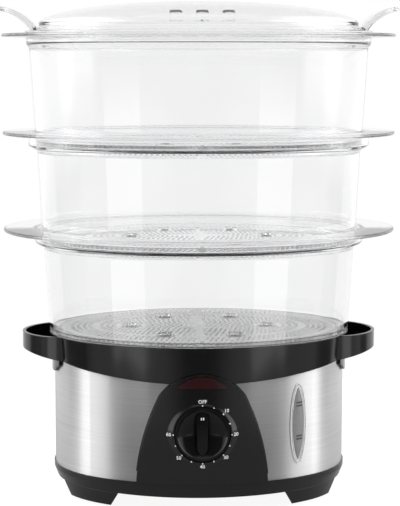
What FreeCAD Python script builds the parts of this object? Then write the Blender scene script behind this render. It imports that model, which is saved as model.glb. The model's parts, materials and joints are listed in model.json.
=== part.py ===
# Electric food steamer: a base with a water tank and heater, three clear oval
# baskets and a clear lid. Millimetres, +Z up, front towards -Y, feet on Z = 0.
import math
import os
import re

import FreeCAD
import Part
import Sketcher

doc = FreeCAD.newDocument("FoodSteamer")
sheet = doc.addObject("Spreadsheet::Sheet", "Sizes")

SIZES = [
    # Overall plan: every oval has this depth over its width.
    ("oval_ratio", 0.797),
    ("steel_half_width", 110.9),
    ("seat_gap", 0.1),
    ("slip_gap", 0.5),
    ("press_gap", 0.15),
    # Base, from the floor up.
    ("foot_clearance", 0.8),
    ("foot_taper", 2.5),
    ("foot_angle", 44.6),
    ("foot_place_angle", 51.6),
    ("foot_length_low", 43.4),
    ("foot_length_high", 59.2),
    ("foot_outward", 22),
    ("foot_inward", 18),
    ("foot_face", 1.8),
    ("pad_radius", 5.5),
    ("pad_thickness", 2.6),
    ("pad_inset", 9.5),
    ("pad_place_angle", 55),
    ("skirt_bottom", 11.2),
    ("skirt_tuck", 1.5),
    ("skirt_overhang", 1),
    ("skirt_bulge_rise", 6.4),
    ("skirt_height", 10.4),
    ("skirt_wall", 1.8),
    ("upstand_height", 5.9),
    ("cover_thickness", 2.4),
    ("ledge_width", 6),
    ("ledge_thickness", 2.4),
    ("cover_slot_width", 3),
    ("cover_slot_length", 40),
    ("cover_slot_pitch", 9),
    ("steel_wall", 0.8),
    ("steel_sunk", 3),
    ("steel_height", 87.9),
    # Water tank with its rim and two filling ears.
    ("rim_rise", 15.5),
    ("rim_overhang", 3.6),
    ("rim_low_overhang", 2),
    ("rim_wall", 2.9),
    ("rim_drop", 11.3),
    ("rim_sweep_radius", 627),
    ("shoulder_thickness", 2.2),
    ("tub_wall", 2.2),
    ("tub_depth", 60.5),
    ("tub_side_room", 13.9),
    ("tub_front_room", 1.4),
    ("tub_draft", 3),
    ("ear_setback", 16.5),
    ("ear_half_length", 37.4),
    ("ear_half_width", 40),
    ("ear_wall", 2.4),
    ("ear_dip", 5.5),
    ("ear_floor_slope", 14),
    ("inlet_half_width", 20),
    ("inlet_height", 4),
    ("lug_half_width_high", 31.5),
    ("lug_half_width_low", 19),
    ("lug_drop", 1.9),
    ("lug_height", 6.2),
    ("post_across", 48),
    ("post_radius", 4.5),
    ("screw_radius", 1.7),
    ("screw_head_radius", 3.6),
    ("screw_head_height", 1.9),
    ("screw_length", 18),
    ("screw_head_sink", 1.3),
    # Control panel on the front.
    ("panel_proud", 3.1),
    ("panel_low_half", 48.2),
    ("panel_shoulder_half", 31),
    ("panel_arch_rise", 16.5),
    ("panel_drop", 3.5),
    ("panel_side_radius", 170),
    ("panel_overlap", 4),
    ("panel_gap", 0.3),
    ("dial_drop", 43.8),
    ("collar_rise", 0.6),
    ("collar_land", 0.9),
    ("collar_run", 3.8),
    ("collar_fall", 3),
    ("dial_wall", 2.4),
    ("knob_radius", 20.2),
    ("knob_gap", 0.4),
    ("knob_height", 9),
    ("knob_edge", 0.6),
    ("knob_rim", 1.3),
    ("knob_wall", 1.7),
    ("knob_bevel", 1),
    ("knob_bowl_depth", 6),
    ("knob_web", 1.6),
    ("knob_hub_radius", 5.2),
    ("knob_grip_drop", 1.6),
    ("knob_grip_length", 33.2),
    ("knob_grip_width", 7.6),
    ("knob_grip_point", 6.4),
    ("knob_bore_depth", 5.6),
    ("shaft_radius", 3),
    ("shaft_gap", 0.05),
    ("shaft_tail", 12),
    ("bush_radius", 4.8),
    ("timer_plate", 1.2),
    ("timer_screw_inset", 2.4),
    ("small_screw_radius", 1.2),
    ("timer_half_width", 20),
    ("timer_flange_width", 6.3),
    ("timer_flange_thickness", 3.4),
    ("bell_room", 0.2),
    ("bell_height", 6),
    ("lens_half_width", 18.7),
    ("lens_drop", 10.5),
    ("lens_radius", 24.4),
    ("lens_proud", 0.3),
    ("lens_seat", 1.2),
    ("lens_ledge", 1.6),
    ("lamp_radius", 3),
    ("lamp_length", 14),
    ("lamp_rise", 1.5),
    ("lamp_boss_wall", 1.4),
    ("lamp_boss_depth", 7.7),
    # Water gauge to the right of the panel.
    ("gauge_across", 71),
    ("gauge_rise", 43.4),
    ("gauge_half_height", 30),
    ("gauge_half_width", 7.3),
    ("gauge_frame", 2.1),
    ("gauge_proud", 1.2),
    ("gauge_plug_depth", 2.2),
    ("gauge_dish_depth", 0.5),
    ("gauge_seal_thickness", 0.8),
    ("chamber_side_room", 1.7),
    ("chamber_end_room", 3),
    ("chamber_depth", 9),
    ("chamber_wall", 1.6),
    ("hose_radius", 3.5),
    ("hose_rise", 8),
    ("hose_wall", 1),
    ("hose_start", 10.2),
    ("hose_length", 21),
    # Heater, steam ring and drip tray.
    ("heater_radius", 32.6),
    ("heater_rise", 3.6),
    ("heater_lip", 5.4),
    ("heater_flange_thickness", 2),
    ("seal_thickness", 0.9),
    ("element_radius", 24),
    ("element_tube_radius", 3.3),
    ("element_end_length", 12),
    ("thermostat_radius", 8),
    ("thermostat_height", 7),
    ("fuse_radius", 2),
    ("fuse_length", 11),
    ("clamp_reach", 9),
    ("clamp_overlap", 9),
    ("clamp_screw_inset", 4),
    ("clamp_thickness", 1.6),
    ("ring_radius", 42),
    ("ring_height", 34),
    ("ring_wall", 1.8),
    ("ring_lip", 6),
    ("ring_notch_width", 14),
    ("ring_notch_height", 6),
    ("ring_room", 5.8873),
    ("tray_depth", 16.2),
    ("tray_room", 5),
    ("tray_wall", 1.8),
    ("tray_flange_drop", 7.8),
    ("tray_flange_thickness", 2),
    ("tray_rib_across", 60),
    ("tray_rib_width", 3),
    ("tray_rib_length", 10),
    ("chimney_radius", 24),
    ("chimney_rise", 4.8),
    # Baskets and lid.
    ("basket_wall", 2.2),
    ("basket_floor_rise", 0.9),
    ("basket_floor", 2),
    ("spigot_depth", 4.8),
    ("first_tier", 79.6),
    ("tier_pitch", 72.95),
    ("flange_reach", 18.5),
    ("flange_thickness", 2.4),
    ("flange_edge", 0.8),
    ("ledge_rise", 0.9),
    ("flange_dip", 1.8),
    ("collar_depth", 11),
    ("collar_slope", 3.4),
    ("bottom_foot_inset", 0.2),
    ("bottom_flare", 4.1),
    ("bottom_step", 6.7),
    ("middle_foot_room", 3.5),
    ("middle_flare", 3.4),
    ("middle_step", 6.4),
    ("top_foot_room", 3.3),
    ("top_flare", 4.4),
    ("top_step", 2.1),
    ("slot_width", 1.8),
    ("slot_outer_place", 0.9),
    ("slot_middle_place", 0.68),
    ("slot_inner_place", 0.2),
    ("slot_length", 8),
    ("egg_radius", 9.3),
    ("egg_place", 52),
    ("egg_depth", 1),
    ("lid_wall", 2.2),
    ("lid_overhang", 0.8),
    ("lid_flange_thickness", 2.2),
    ("lid_skirt_depth", 5),
    ("lid_brim", 9.5),
    ("lid_band_height", 4.8),
    ("lid_shoulder", 0.9),
    ("lid_dome_foot", 7.5),
    ("lid_height", 24.5),
    ("dome_power", 2.3),
    ("vent_width", 8.4),
    ("vent_length", 6),
    ("vent_pitch", 18.6),
    ("vent_place", 82),
    ("handle_overhang", 21.3),
    ("handle_arc_radius", 37.8),
    ("handle_lean", 1.7),
    ("handle_drop", 19.1),
    ("handle_thickness", 2.8),
    ("handle_half_width", 27),
    ("handle_plan_length", 34.4),
    # Mains terminals and the grommet of the lead.
    ("terminal_length", 26),
    ("terminal_width", 12),
    ("terminal_height", 10),
    ("terminal_place", 46),
    ("gland_radius", 3.4),
    ("gland_rise", 5.2),
    ("gland_length", 12),
]

# Half widths, levels and depths that follow from the sizes above, each from the one
# that carries it: the steel sleeve carries the rim, the rim the baskets, and so on.
DERIVED = [
    ("skirt_half_width", "@steel_half_width + @skirt_overhang"),
    ("skirt_bottom_half_width", "@steel_half_width - @skirt_tuck"),
    ("foot_half_width", "@skirt_bottom_half_width - @foot_taper"),
    ("skirt_bulge_level", "@skirt_bottom + @skirt_bulge_rise"),
    ("skirt_top", "@skirt_bottom + @skirt_height"),
    ("upstand_top", "@skirt_top + @upstand_height"),
    ("steel_bottom", "@skirt_top - @steel_sunk"),
    ("steel_top", "@steel_bottom + @steel_height"),
    ("rim_top", "@steel_top + @rim_rise"),
    ("rim_half_width", "@steel_half_width + @rim_overhang"),
    ("rim_low_half_width", "@steel_half_width + @rim_low_overhang"),
    ("rim_low_level", "@steel_top - @rim_drop"),
    ("ear_centre", "@rim_half_width - @ear_setback"),
    ("ear_floor_tip", "@rim_top - @ear_dip"),
    ("lug_bottom", "@rim_low_level - @lug_drop"),
    ("lug_top", "@lug_bottom + @lug_height"),
    ("steel_front", "@steel_half_width * @oval_ratio"),
    ("panel_front", "@steel_front + @panel_proud"),
    ("fascia_back", "@steel_front + @panel_gap"),
    ("panel_top", "@steel_top - @panel_drop"),
    ("panel_shoulder_level", "@panel_top - @panel_arch_rise"),
    ("dial_level", "@panel_top - @dial_drop"),
    ("dial_front", "@panel_front + @collar_rise"),
    ("dial_floor", "@dial_front - @knob_height"),
    ("dial_bore", "@knob_radius + @slip_gap"),
    ("timer_face", "@dial_floor - @dial_wall"),
    ("timer_flange_radius", "@dial_bore + @timer_flange_width"),
    ("timer_screw_place", "@timer_flange_radius - @timer_screw_inset"),
    ("lens_bottom", "@panel_top - @lens_drop"),
    ("lens_back", "@fascia_back + @lens_seat"),
    ("lamp_level", "@lens_bottom + @lamp_rise"),
    ("tub_bottom", "@steel_top - @tub_depth"),
    ("tub_high_half_width", "@steel_half_width - @tub_side_room"),
    ("tub_low_half_width", "@tub_high_half_width - @tub_draft"),
    ("tub_low_half_depth", "@ring_radius + @ring_room + @tub_wall"),
    ("tub_high_half_depth", "@tub_low_half_depth + @tub_draft"),
    ("timer_depth", "@timer_face - @timer_plate - @tub_front_room - @tub_high_half_depth"),
    ("bell_radius", "(@timer_depth + @tub_front_room) / 2 - @bell_room"),
    ("post_along", "@tub_high_half_depth + @post_radius + @slip_gap"),
    ("gauge_level", "@steel_bottom + @gauge_rise"),
    ("chamber_half_width", "@gauge_half_width + @chamber_side_room"),
    ("chamber_half_height", "@gauge_half_height + @chamber_end_room"),
    ("hose_level", "@tub_bottom + @hose_rise"),
    ("heater_flange_radius", "@heater_radius + @heater_lip"),
    ("clamp_radius", "@heater_flange_radius + @clamp_reach"),
    ("clamp_inner_radius", "@heater_flange_radius - @clamp_overlap"),
    ("clamp_screw_place", "@clamp_radius - @clamp_screw_inset"),
    ("tray_flange_level", "@rim_top - @tray_flange_drop"),
    ("tray_bottom", "@tray_flange_level - @tray_depth"),
    ("tray_low_half_width", "@tub_low_half_width - @tray_room"),
    ("tray_low_half_depth", "@tub_low_half_depth - @tray_room"),
    ("tray_high_half_width", "@tub_high_half_width - @tray_room"),
    ("tray_high_half_depth", "@tub_high_half_depth - @tray_room"),
    ("tray_rib_along", "@tub_high_half_depth + @tray_rib_width"),
    ("chimney_top", "@tray_flange_level + @chimney_rise"),
    ("flange_level", "@rim_top + @first_tier"),
    ("bottom_foot_half_width", "@rim_half_width - @bottom_foot_inset"),
    ("bottom_wall_half_width", "@bottom_foot_half_width + @bottom_flare"),
    ("bottom_collar_half_width", "@bottom_wall_half_width + @bottom_step"),
    ("middle_foot_half_width", "@bottom_collar_half_width - @basket_wall - @middle_foot_room"),
    ("middle_wall_half_width", "@middle_foot_half_width + @middle_flare"),
    ("middle_collar_half_width", "@middle_wall_half_width + @middle_step"),
    ("top_foot_half_width", "@middle_collar_half_width - @basket_wall - @top_foot_room"),
    ("top_wall_half_width", "@top_foot_half_width + @top_flare"),
    ("top_collar_half_width", "@top_wall_half_width + @top_step"),
    ("flange_half_width", "@top_collar_half_width + @flange_reach"),
    ("lid_seat", "@flange_level + 2 * @tier_pitch + @seat_gap"),
    ("lid_top", "@lid_seat + @lid_height"),
    ("lid_flange_half_width", "@top_collar_half_width + @lid_overhang"),
    ("lid_band_half_width", "@lid_flange_half_width - @lid_brim"),
    ("lid_dome_half_width", "@lid_band_half_width - @lid_shoulder"),
    ("handle_reach", "@lid_flange_half_width + @handle_overhang"),
    ("handle_arc_centre", "@handle_reach + @handle_lean"),
    ("handle_arc_level", "@lid_seat - @handle_drop"),
    ("gland_level", "@skirt_bottom + @gland_rise"),
]

for row, (alias, number) in enumerate(SIZES, start=1):
    sheet.set("A%d" % row, alias)
    sheet.set("B%d" % row, str(number))
    sheet.setAlias("B%d" % row, alias)
doc.recompute()


def cells(expression):
    """Write each @name of an expression as its cell, or as the cells it follows from."""
    for name, meaning in reversed(DERIVED):
        expression = re.sub(r"@%s\b" % name, "(%s)" % meaning, expression)
    return expression.replace("@", "Sizes.")


def value(expression, owner=sheet):
    """The number that an expression gives now, used to draw a sketch near its place."""
    result = owner.evalExpression(cells(expression))
    return float(getattr(result, "Value", result))


def bind(thing, **expressions):
    """Bind properties to expressions; __ in a name stands for a dot."""
    for name, expression in expressions.items():
        thing.setExpression(name.replace("__", "."), cells(expression))
    return thing


def place(thing, x="0", y="0", z="0", yaw="0", pitch="0", roll="0"):
    """Bind a placement: a position, and turns about Z, Y and X."""
    where = "placement(vector(%s; %s; %s); rotation(%s; %s; %s))" % (x, y, z, yaw, pitch, roll)
    return bind(thing, Placement=where)


# ---- outlines drawn in sketches ----------------------------------------------

def arc_between(start, end, radius):
    """The short arc from start to end; a negative radius turns clockwise."""
    chord = end - start
    half = chord.Length / 2
    left = FreeCAD.Vector(-chord.y, chord.x, 0).normalize()
    rise = math.sqrt(max(radius * radius - half * half, 0)) * math.copysign(1, radius)
    centre = (start + end) * 0.5 + left * rise
    first, last = (start, end) if radius > 0 else (end, start)
    circle = Part.Circle(centre, FreeCAD.Vector(0, 0, 1), abs(radius))
    return Part.ArcOfCircle(circle, circle.parameter(first), circle.parameter(last))


def bound_constraint(sketch, expression, kind, *where):
    start = value(expression, sketch)
    number = sketch.addConstraint(Sketcher.Constraint(kind, *where, start))
    sketch.setExpression("Constraints[%d]" % number, cells(expression))


def draw_outline(sketch, corners):
    """Close an outline through corners (x, y) or (x, y, radius of the run that follows)."""
    points = [FreeCAD.Vector(value(c[0], sketch), value(c[1], sketch), 0) for c in corners]
    runs = []
    for i, corner in enumerate(corners):
        start = points[i]
        end = points[(i + 1) % len(points)]
        if len(corner) == 2:
            runs.append((sketch.addGeometry(Part.LineSegment(start, end), False), 1, 2))
            continue
        radius = value(corner[2], sketch)
        run = sketch.addGeometry(arc_between(start, end, radius), False)
        runs.append((run, 1, 2) if radius > 0 else (run, 2, 1))
    for i, corner in enumerate(corners):
        run, first, last = runs[i]
        following, follow_first, _ = runs[(i + 1) % len(runs)]
        joint = Sketcher.Constraint("Coincident", run, last, following, follow_first)
        sketch.addConstraint(joint)
        bound_constraint(sketch, corner[0], "DistanceX", -1, 1, run, first)
        bound_constraint(sketch, corner[1], "DistanceY", -1, 1, run, first)
        if len(corner) == 3:
            bound_constraint(sketch, "abs(%s)" % corner[2], "Radius", run)
    return sketch


# ---- solids from Part primitives and booleans --------------------------------

OVAL_ARCS = (
    ("Span", "sqrt(.HalfWidth ^ 2 + .HalfDepth ^ 2)"),
    ("EndRadius", "(.Span - .HalfWidth + .HalfDepth) * .Span / (2 * .HalfWidth)"),
    ("SideRadius", "(.Span + .HalfWidth - .HalfDepth) * .Span / (2 * .HalfDepth)"),
    ("Share", "1 / (.SideRadius - .EndRadius)"),
    ("JoinX", "(.HalfWidth - .EndRadius) * (.SideRadius + .Grow) * .Share"),
    ("JoinY", "(.SideRadius - .HalfDepth) * (.EndRadius + .Grow) * .Share"),
)


def oval(name, half_width, half_depth, level, grow="0"):
    """An oval of four tangent arcs, grown by an even offset."""
    sketch = doc.addObject("Sketcher::SketchObject", name)
    measures = (("HalfWidth", half_width), ("HalfDepth", half_depth), ("Grow", grow))
    for size, expression in measures + OVAL_ARCS:
        sketch.addProperty("App::PropertyFloat", size, "Oval")
        setattr(sketch, size, value(expression, sketch))
        sketch.setExpression(size, cells(expression))
    draw_outline(sketch, [
        (".JoinX", "-.JoinY", ".EndRadius + .Grow"),
        (".JoinX", ".JoinY", ".SideRadius + .Grow"),
        ("-.JoinX", ".JoinY", ".EndRadius + .Grow"),
        ("-.JoinX", "-.JoinY", ".SideRadius + .Grow"),
    ])
    return place(sketch, z=level)


def ring(half_width, level, grow="0"):
    """An oval of the steamer's plan at one level, grown evenly by grow."""
    return (half_width, "(%s) * @oval_ratio" % half_width, level, grow)


def stack(name, rings):
    """A closed solid through ovals at rising levels, with straight walls between."""
    loft = doc.addObject("Part::Loft", name)
    loft.Sections = [oval("%s_%d" % (name, i), *r) for i, r in enumerate(rings)]
    loft.Solid = True
    loft.Ruled = True
    return loft


def sleeve(name, half_width, low, high, grow_in, grow_out):
    """An oval tube between two even offsets of one oval."""
    outside = stack(name + "_outside", [
        ring(half_width, low, grow_out),
        ring(half_width, high, grow_out),
    ])
    inside = stack(name + "_inside", [
        ring(half_width, low + " - 1", grow_in),
        ring(half_width, high + " + 1", grow_in),
    ])
    return cut(name, outside, inside)


def box(name, length, width, height, **where):
    """A box from its low corner."""
    block = doc.addObject("Part::Box", name)
    bind(block, Length=length, Width=width, Height=height)
    return place(block, **where)


def cylinder(name, radius, height, **where):
    """A cylinder from the centre of its low end."""
    rod = doc.addObject("Part::Cylinder", name)
    bind(rod, Radius=radius, Height=height)
    return place(rod, **where)


def rod_forward(name, radius, depth_back, depth_front, x="0", z="0"):
    """A cylinder from depth_back to depth_front before the middle, along -Y."""
    length = "(%s) - (%s)" % (depth_front, depth_back)
    return cylinder(name, radius, length, x=x, y="-(%s)" % depth_back, z=z, roll="90")


def cut(name, base, *tools):
    """Take each tool from a solid; the last step carries the name."""
    result = base
    for number, tool in enumerate(tools, start=1):
        last = number == len(tools)
        step = doc.addObject("Part::Cut", name if last else "%s_step_%d" % (name, number))
        step.Base = result
        step.Tool = tool
        result = step
    return result


def join(name, shapes):
    result = doc.addObject("Part::MultiFuse", name)
    result.Shapes = shapes
    return result


def common(name, shapes):
    result = doc.addObject("Part::MultiCommon", name)
    result.Shapes = shapes
    return result


def group(name, shapes):
    """Separate solids that share one object."""
    result = doc.addObject("Part::Compound", name)
    result.Links = shapes
    return result


def across(name, source):
    """The mirror image of an object, from the right side to the left."""
    result = doc.addObject("Part::Mirroring", name)
    result.Source = source
    result.Normal = FreeCAD.Vector(1, 0, 0)
    return result


# ---- prisms and PartDesign bodies --------------------------------------------

def free_sketch(name, corners, **where):
    """A sketch outside a body, for a prism or a loft."""
    sketch = doc.addObject("Sketcher::SketchObject", name)
    draw_outline(sketch, corners)
    return place(sketch, **where)


def prism(name, corners, length, **where):
    """An outline pushed along its own normal."""
    solid = doc.addObject("Part::Extrusion", name)
    solid.Base = free_sketch(name + "_outline", corners, **where)
    solid.DirMode = "Normal"
    solid.Solid = True
    return bind(solid, LengthFwd=length)


def front_prism(name, corners, depth_back, depth_front):
    """An outline seen from the front, from depth_back to depth_front along -Y."""
    length = "(%s) - (%s)" % (depth_front, depth_back)
    return prism(name, corners, length, y="-(%s)" % depth_back, roll="90")


def origin_feature(owner, role):
    return next(f for f in owner.Origin.OriginFeatures if f.Role == role)


def body_sketch(owner, name, role, corners, offset="0"):
    """A sketch on one of the body's own origin planes, moved along its normal."""
    sketch = owner.newObject("Sketcher::SketchObject", name)
    sketch.AttachmentSupport = [(origin_feature(owner, role), "")]
    sketch.MapMode = "FlatFace"
    bind(sketch, AttachmentOffset__Base__z=offset)
    return draw_outline(sketch, corners)


def padded(owner, name, sketch, length):
    """A pad of a sketch along its normal."""
    pad = owner.newObject("PartDesign::Pad", name)
    pad.Profile = sketch
    return bind(pad, Length=length)


def turned(label, corners, **where):
    """A body turned about its Z axis from a half profile (radius, level)."""
    owner = doc.addObject("PartDesign::Body", label)
    sketch = body_sketch(owner, label + "_profile", "XZ_Plane", corners)
    revolution = owner.newObject("PartDesign::Revolution", label + "_turned")
    revolution.Profile = sketch
    revolution.ReferenceAxis = (sketch, ["V_Axis"])
    revolution.Angle = 360
    return place(owner, **where)


NODES = []


def node(thing, label):
    """Name a finished sub-part and keep it for export."""
    thing.Label = label
    NODES.append(thing)
    return thing


CORNERS = (("front_right", 1, -1), ("rear_right", 1, 1), ("rear_left", -1, 1), ("front_left", -1, -1))


# ---- levels and depths that several pieces share -----------------------------

SHOULDER_UNDER = "(@steel_top + @panel_gap)"
SHOULDER_TOP = "(@steel_top + @panel_gap + @shoulder_thickness)"
RIM_INSIDE = "-@rim_wall"
TUB_FLOOR = "(@tub_bottom + @tub_wall)"
COVER_TOP = "(@skirt_bottom + @cover_thickness)"
SPAN = "sqrt(1 + @oval_ratio ^ 2)"
STEEL_SIDE = "(@steel_half_width * (%s + 1 - @oval_ratio) * %s / (2 * @oval_ratio))" % (SPAN, SPAN)
GAUGE_TURN = "asin(@gauge_across / %s)" % STEEL_SIDE
GAUGE_DEPTH = "(%s * cos(%s) - %s + @steel_front)" % (STEEL_SIDE, GAUGE_TURN, STEEL_SIDE)
BASKET_LEDGE = "(@flange_level - @collar_depth + @ledge_rise)"
BOTTOM_SEAT = "(@rim_top + @seat_gap)"
MIDDLE_SEAT = "(%s + @seat_gap)" % BASKET_LEDGE
TOP_SEAT = "(%s + @tier_pitch)" % MIDDLE_SEAT


# ---- baskets -----------------------------------------------------------------

SLOT_ROWS = (("@slot_outer_place", 36), ("@slot_middle_place", 26), ("@slot_inner_place", 10))


def steam_slot(name, half_width, row_place, angle, level):
    """One radial slot through a basket floor, centred on an oval at an angle."""
    reach_x = "%s * %s * cos(%.3f)" % (half_width, row_place, angle)
    reach_y = "%s * %s * @oval_ratio * sin(%.3f)" % (half_width, row_place, angle)
    plan = math.atan2(value(reach_y), value(reach_x))
    aim = "%.3f" % math.degrees(plan)
    return box(
        name, "@slot_length", "@slot_width", "@basket_floor + 2",
        x="%s - @slot_length / 2 * cos(%s) + @slot_width / 2 * sin(%s)" % (reach_x, aim, aim),
        y="%s - @slot_length / 2 * sin(%s) - @slot_width / 2 * cos(%s)" % (reach_y, aim, aim),
        z="%s - 1" % level,
        yaw=aim,
    )


def floor_openings(name, half_width, level):
    """Oval rows of steam slots, and six shallow round seats for eggs."""
    tools = []
    for row, (row_place, count) in enumerate(SLOT_ROWS):
        for i in range(count):
            slot_name = "%s_slot_%d_%d" % (name, row, i)
            angle = 360.0 * (i + 0.5) / count
            tools.append(steam_slot(slot_name, half_width, row_place, angle, level))
    for i in range(6):
        tools.append(cylinder(
            "%s_egg_%d" % (name, i), "@egg_radius", "@egg_depth + 0.1",
            x="@egg_place * cos(%d)" % (60 * i),
            y="@egg_place * sin(%d)" % (60 * i),
            z="%s + @basket_floor - @egg_depth" % level,
        ))
    return tools


def basket(label, seat, tier, foot, wall, collar, spigot=False):
    """One clear basket: tapered wall, stepped collar, wide flange, perforated floor."""
    top = "(@flange_level + %d * @tier_pitch)" % tier
    ledge = "(%s - @collar_depth)" % top
    floor_level = "(%s + @basket_floor_rise)" % seat
    outside = stack(label + "_outside", [
        ring(foot, seat),
        ring(wall, "%s - @collar_slope" % ledge),
        ring(collar, ledge),
        ring(collar, "%s - @flange_thickness - @flange_dip" % top),
        ring("@flange_half_width - @flange_edge", "%s - @flange_thickness" % top),
        ring("@flange_half_width", "%s - @flange_thickness / 2" % top),
        ring("@flange_half_width - @flange_edge", top),
    ])
    inside = stack(label + "_inside", [
        ring(foot, "%s + @basket_floor" % floor_level, "-@basket_wall"),
        ring(wall, "%s + @ledge_rise - 0.1" % ledge, "-@basket_wall"),
        ring(collar, "%s + @ledge_rise" % ledge, "-@basket_wall"),
        ring(collar, "%s + 1" % top, "-@basket_wall"),
    ])
    under = stack(label + "_under", [
        ring(foot, "%s - 1" % seat, "-@basket_wall"),
        ring(foot, floor_level, "-@basket_wall"),
    ])
    shell = cut(label + "_shell", outside, inside, under)
    if spigot:
        plug = sleeve(
            label + "_spigot", "@rim_half_width", "%s - @spigot_depth" % seat, floor_level,
            "-@rim_wall - @slip_gap - @basket_wall", "-@rim_wall - @slip_gap",
        )
        shell = join(label + "_with_spigot", [shell, plug])
    openings = floor_openings(label, "(%s - @basket_wall)" % foot, floor_level)
    return node(cut(label, shell, group(label + "_openings", openings)), label)


basket("basket_bottom", BOTTOM_SEAT, 0, "@bottom_foot_half_width",
       "@bottom_wall_half_width", "@bottom_collar_half_width", spigot=True)
basket("basket_middle", MIDDLE_SEAT, 1, "@middle_foot_half_width",
       "@middle_wall_half_width", "@middle_collar_half_width")
basket("basket_top", TOP_SEAT, 2, "@top_foot_half_width",
       "@top_wall_half_width", "@top_collar_half_width")


# ---- lid ---------------------------------------------------------------------

DOME_STEPS = (1.0, 0.96, 0.9, 0.82, 0.7, 0.54, 0.34, 0.12)


def dome_rings(inset):
    """Ovals of the lid's dome, a flattened curve, moved inwards and down by inset."""
    rings = []
    foot = "(@lid_seat + @lid_dome_foot)"
    for share in DOME_STEPS:
        rise = "(1 - %.3f ^ @dome_power) ^ (1 / @dome_power)" % share
        level = "%s + (@lid_top - %s) * %s - %s" % (foot, foot, rise, inset)
        rings.append(ring("@lid_dome_half_width * %.3f" % share, level, "-%s * %.3f" % (inset, share)))
    return rings


def lid_handle(name):
    """A curved clear tab that rises outward from the lid's flange, on the right."""
    bend = []
    for kind, grow in (("outer", "+"), ("inner", "-")):
        bend.append(rod_forward(
            "%s_%s" % (name, kind), "@handle_arc_radius %s @handle_thickness / 2" % grow,
            "-@handle_half_width - 1", "@handle_half_width + 1",
            x="@handle_arc_centre", z="@handle_arc_level",
        ))
    plan = stack(name + "_plan", [
        ("@handle_plan_length", "@handle_half_width", "@lid_seat + @lid_flange_thickness / 2"),
        ("@handle_plan_length", "@handle_half_width", "@lid_top"),
    ])
    place(plan, x="@handle_reach - @handle_plan_length")
    return common(name, [cut(name + "_bend", *bend), plan])


def lid():
    flange_top = "(@lid_seat + @lid_flange_thickness)"
    band_top = "(@lid_seat + @lid_band_height)"
    outside = stack("lid_outside", [
        ring("@lid_band_half_width", "@lid_seat"),
        ring("@lid_band_half_width", band_top),
        ring("@lid_dome_half_width", "%s + 0.6" % band_top),
    ] + dome_rings("0"))
    flange = sleeve("lid_flange", "@lid_flange_half_width", "@lid_seat", flange_top,
                    "@lid_band_half_width - @lid_flange_half_width - @lid_wall / 2", "0")
    inside = stack("lid_inside", [
        ring("@lid_dome_half_width", "@lid_seat - 1", "-@lid_wall"),
    ] + dome_rings("@lid_wall"))
    skirt = sleeve(
        "lid_skirt", "@top_collar_half_width", "@lid_seat - @lid_skirt_depth",
        "@lid_seat + 0.5",
        "-@basket_wall - @slip_gap - @lid_wall", "-@basket_wall - @slip_gap",
    )
    handle = lid_handle("lid_handle_right")
    vents = []
    for i in (-1, 0, 1):
        vent = stack("lid_vent_%d" % (i + 2), [
            ("@vent_width / 2", "@vent_length / 2", "@lid_seat + @lid_dome_foot"),
            ("@vent_width / 2", "@vent_length / 2", "@lid_top"),
        ])
        vents.append(place(vent, x="%d * @vent_pitch" % i, y="-@vent_place"))
    shell = cut("lid_shell", outside, inside, group("lid_vents", vents))
    brim = join("lid_brim", [flange, skirt, handle, across("lid_handle_left", handle)])
    return node(join("lid", [shell, brim]), "lid")


lid()


# ---- outlines that the base's pieces share -----------------------------------

def panel_corners(grow):
    """The control panel's arch as seen from the front, grown by grow."""
    low = "(@panel_low_half + %s)" % grow
    shoulder = "(@panel_shoulder_half + %s)" % grow
    top = "(@panel_top + %s)" % grow
    rise = "(%s - @panel_shoulder_level)" % top
    crown = "(%s * %s + %s * %s) / (2 * %s)" % (shoulder, shoulder, rise, rise, rise)
    foot = "@skirt_top + @panel_gap"
    return [
        ("-" + low, foot),
        (low, foot, "@panel_side_radius"),
        (shoulder, "@panel_shoulder_level", crown),
        ("0", top, crown),
        ("-" + shoulder, "@panel_shoulder_level", "@panel_side_radius"),
    ]


def panel_tool(name, grow):
    """The panel's arch as a solid that reaches through the front wall."""
    return front_prism(name, panel_corners(grow), "@panel_front - 30", "@panel_front + 5")


def lens_corners(grow):
    half = "(@lens_half_width + %s)" % grow
    low = "@lens_bottom - %s" % grow
    return [("-" + half, low), (half, low, "@lens_radius + %s" % grow)]


def lens_solid(name, grow, inner, outer):
    """The lens's outline between two even offsets of the steel's oval."""
    wall = sleeve(name + "_wall", "@steel_half_width", "@lens_bottom - 1", "@panel_top + 1",
                  inner, outer)
    outline = front_prism(name + "_outline", lens_corners(grow), "@panel_front - 30",
                          "@panel_front + 5")
    return common(name, [outline, wall])


def gauge_point(sideways, inward):
    """A point given from the middle of the gauge's face, along and into the wall."""
    x = "@gauge_across + (%s) * cos(%s) - (%s) * sin(%s)"
    y = "-%s + (%s) * sin(%s) + (%s) * cos(%s)"
    turns = (sideways, GAUGE_TURN, inward, GAUGE_TURN)
    return {"x": x % turns, "y": y % ((GAUGE_DEPTH,) + turns)}


def gauge_leaf(name, shrink, inward, length):
    """The gauge's pointed leaf as a solid that runs outward from a depth inward."""
    half = "(@gauge_half_height - 1.6 * (%s))" % shrink
    wide = "(@gauge_half_width - (%s))" % shrink
    radius = "(%s * %s + %s * %s) / (2 * %s)" % (half, half, wide, wide, wide)
    corners = [("0", "-" + half, radius), ("0", half, radius)]
    where = gauge_point("0", inward)
    return prism(name, corners, length, yaw=GAUGE_TURN, roll="90", z="@gauge_level", **where)


def gauge_rod(name, radius, inward, length, level):
    """A cylinder that starts at a depth and runs inward from the gauge."""
    where = gauge_point("0", inward)
    return cylinder(name, radius, length, yaw=GAUGE_TURN, roll="-90", z=level, **where)


# ---- water tank --------------------------------------------------------------

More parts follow.
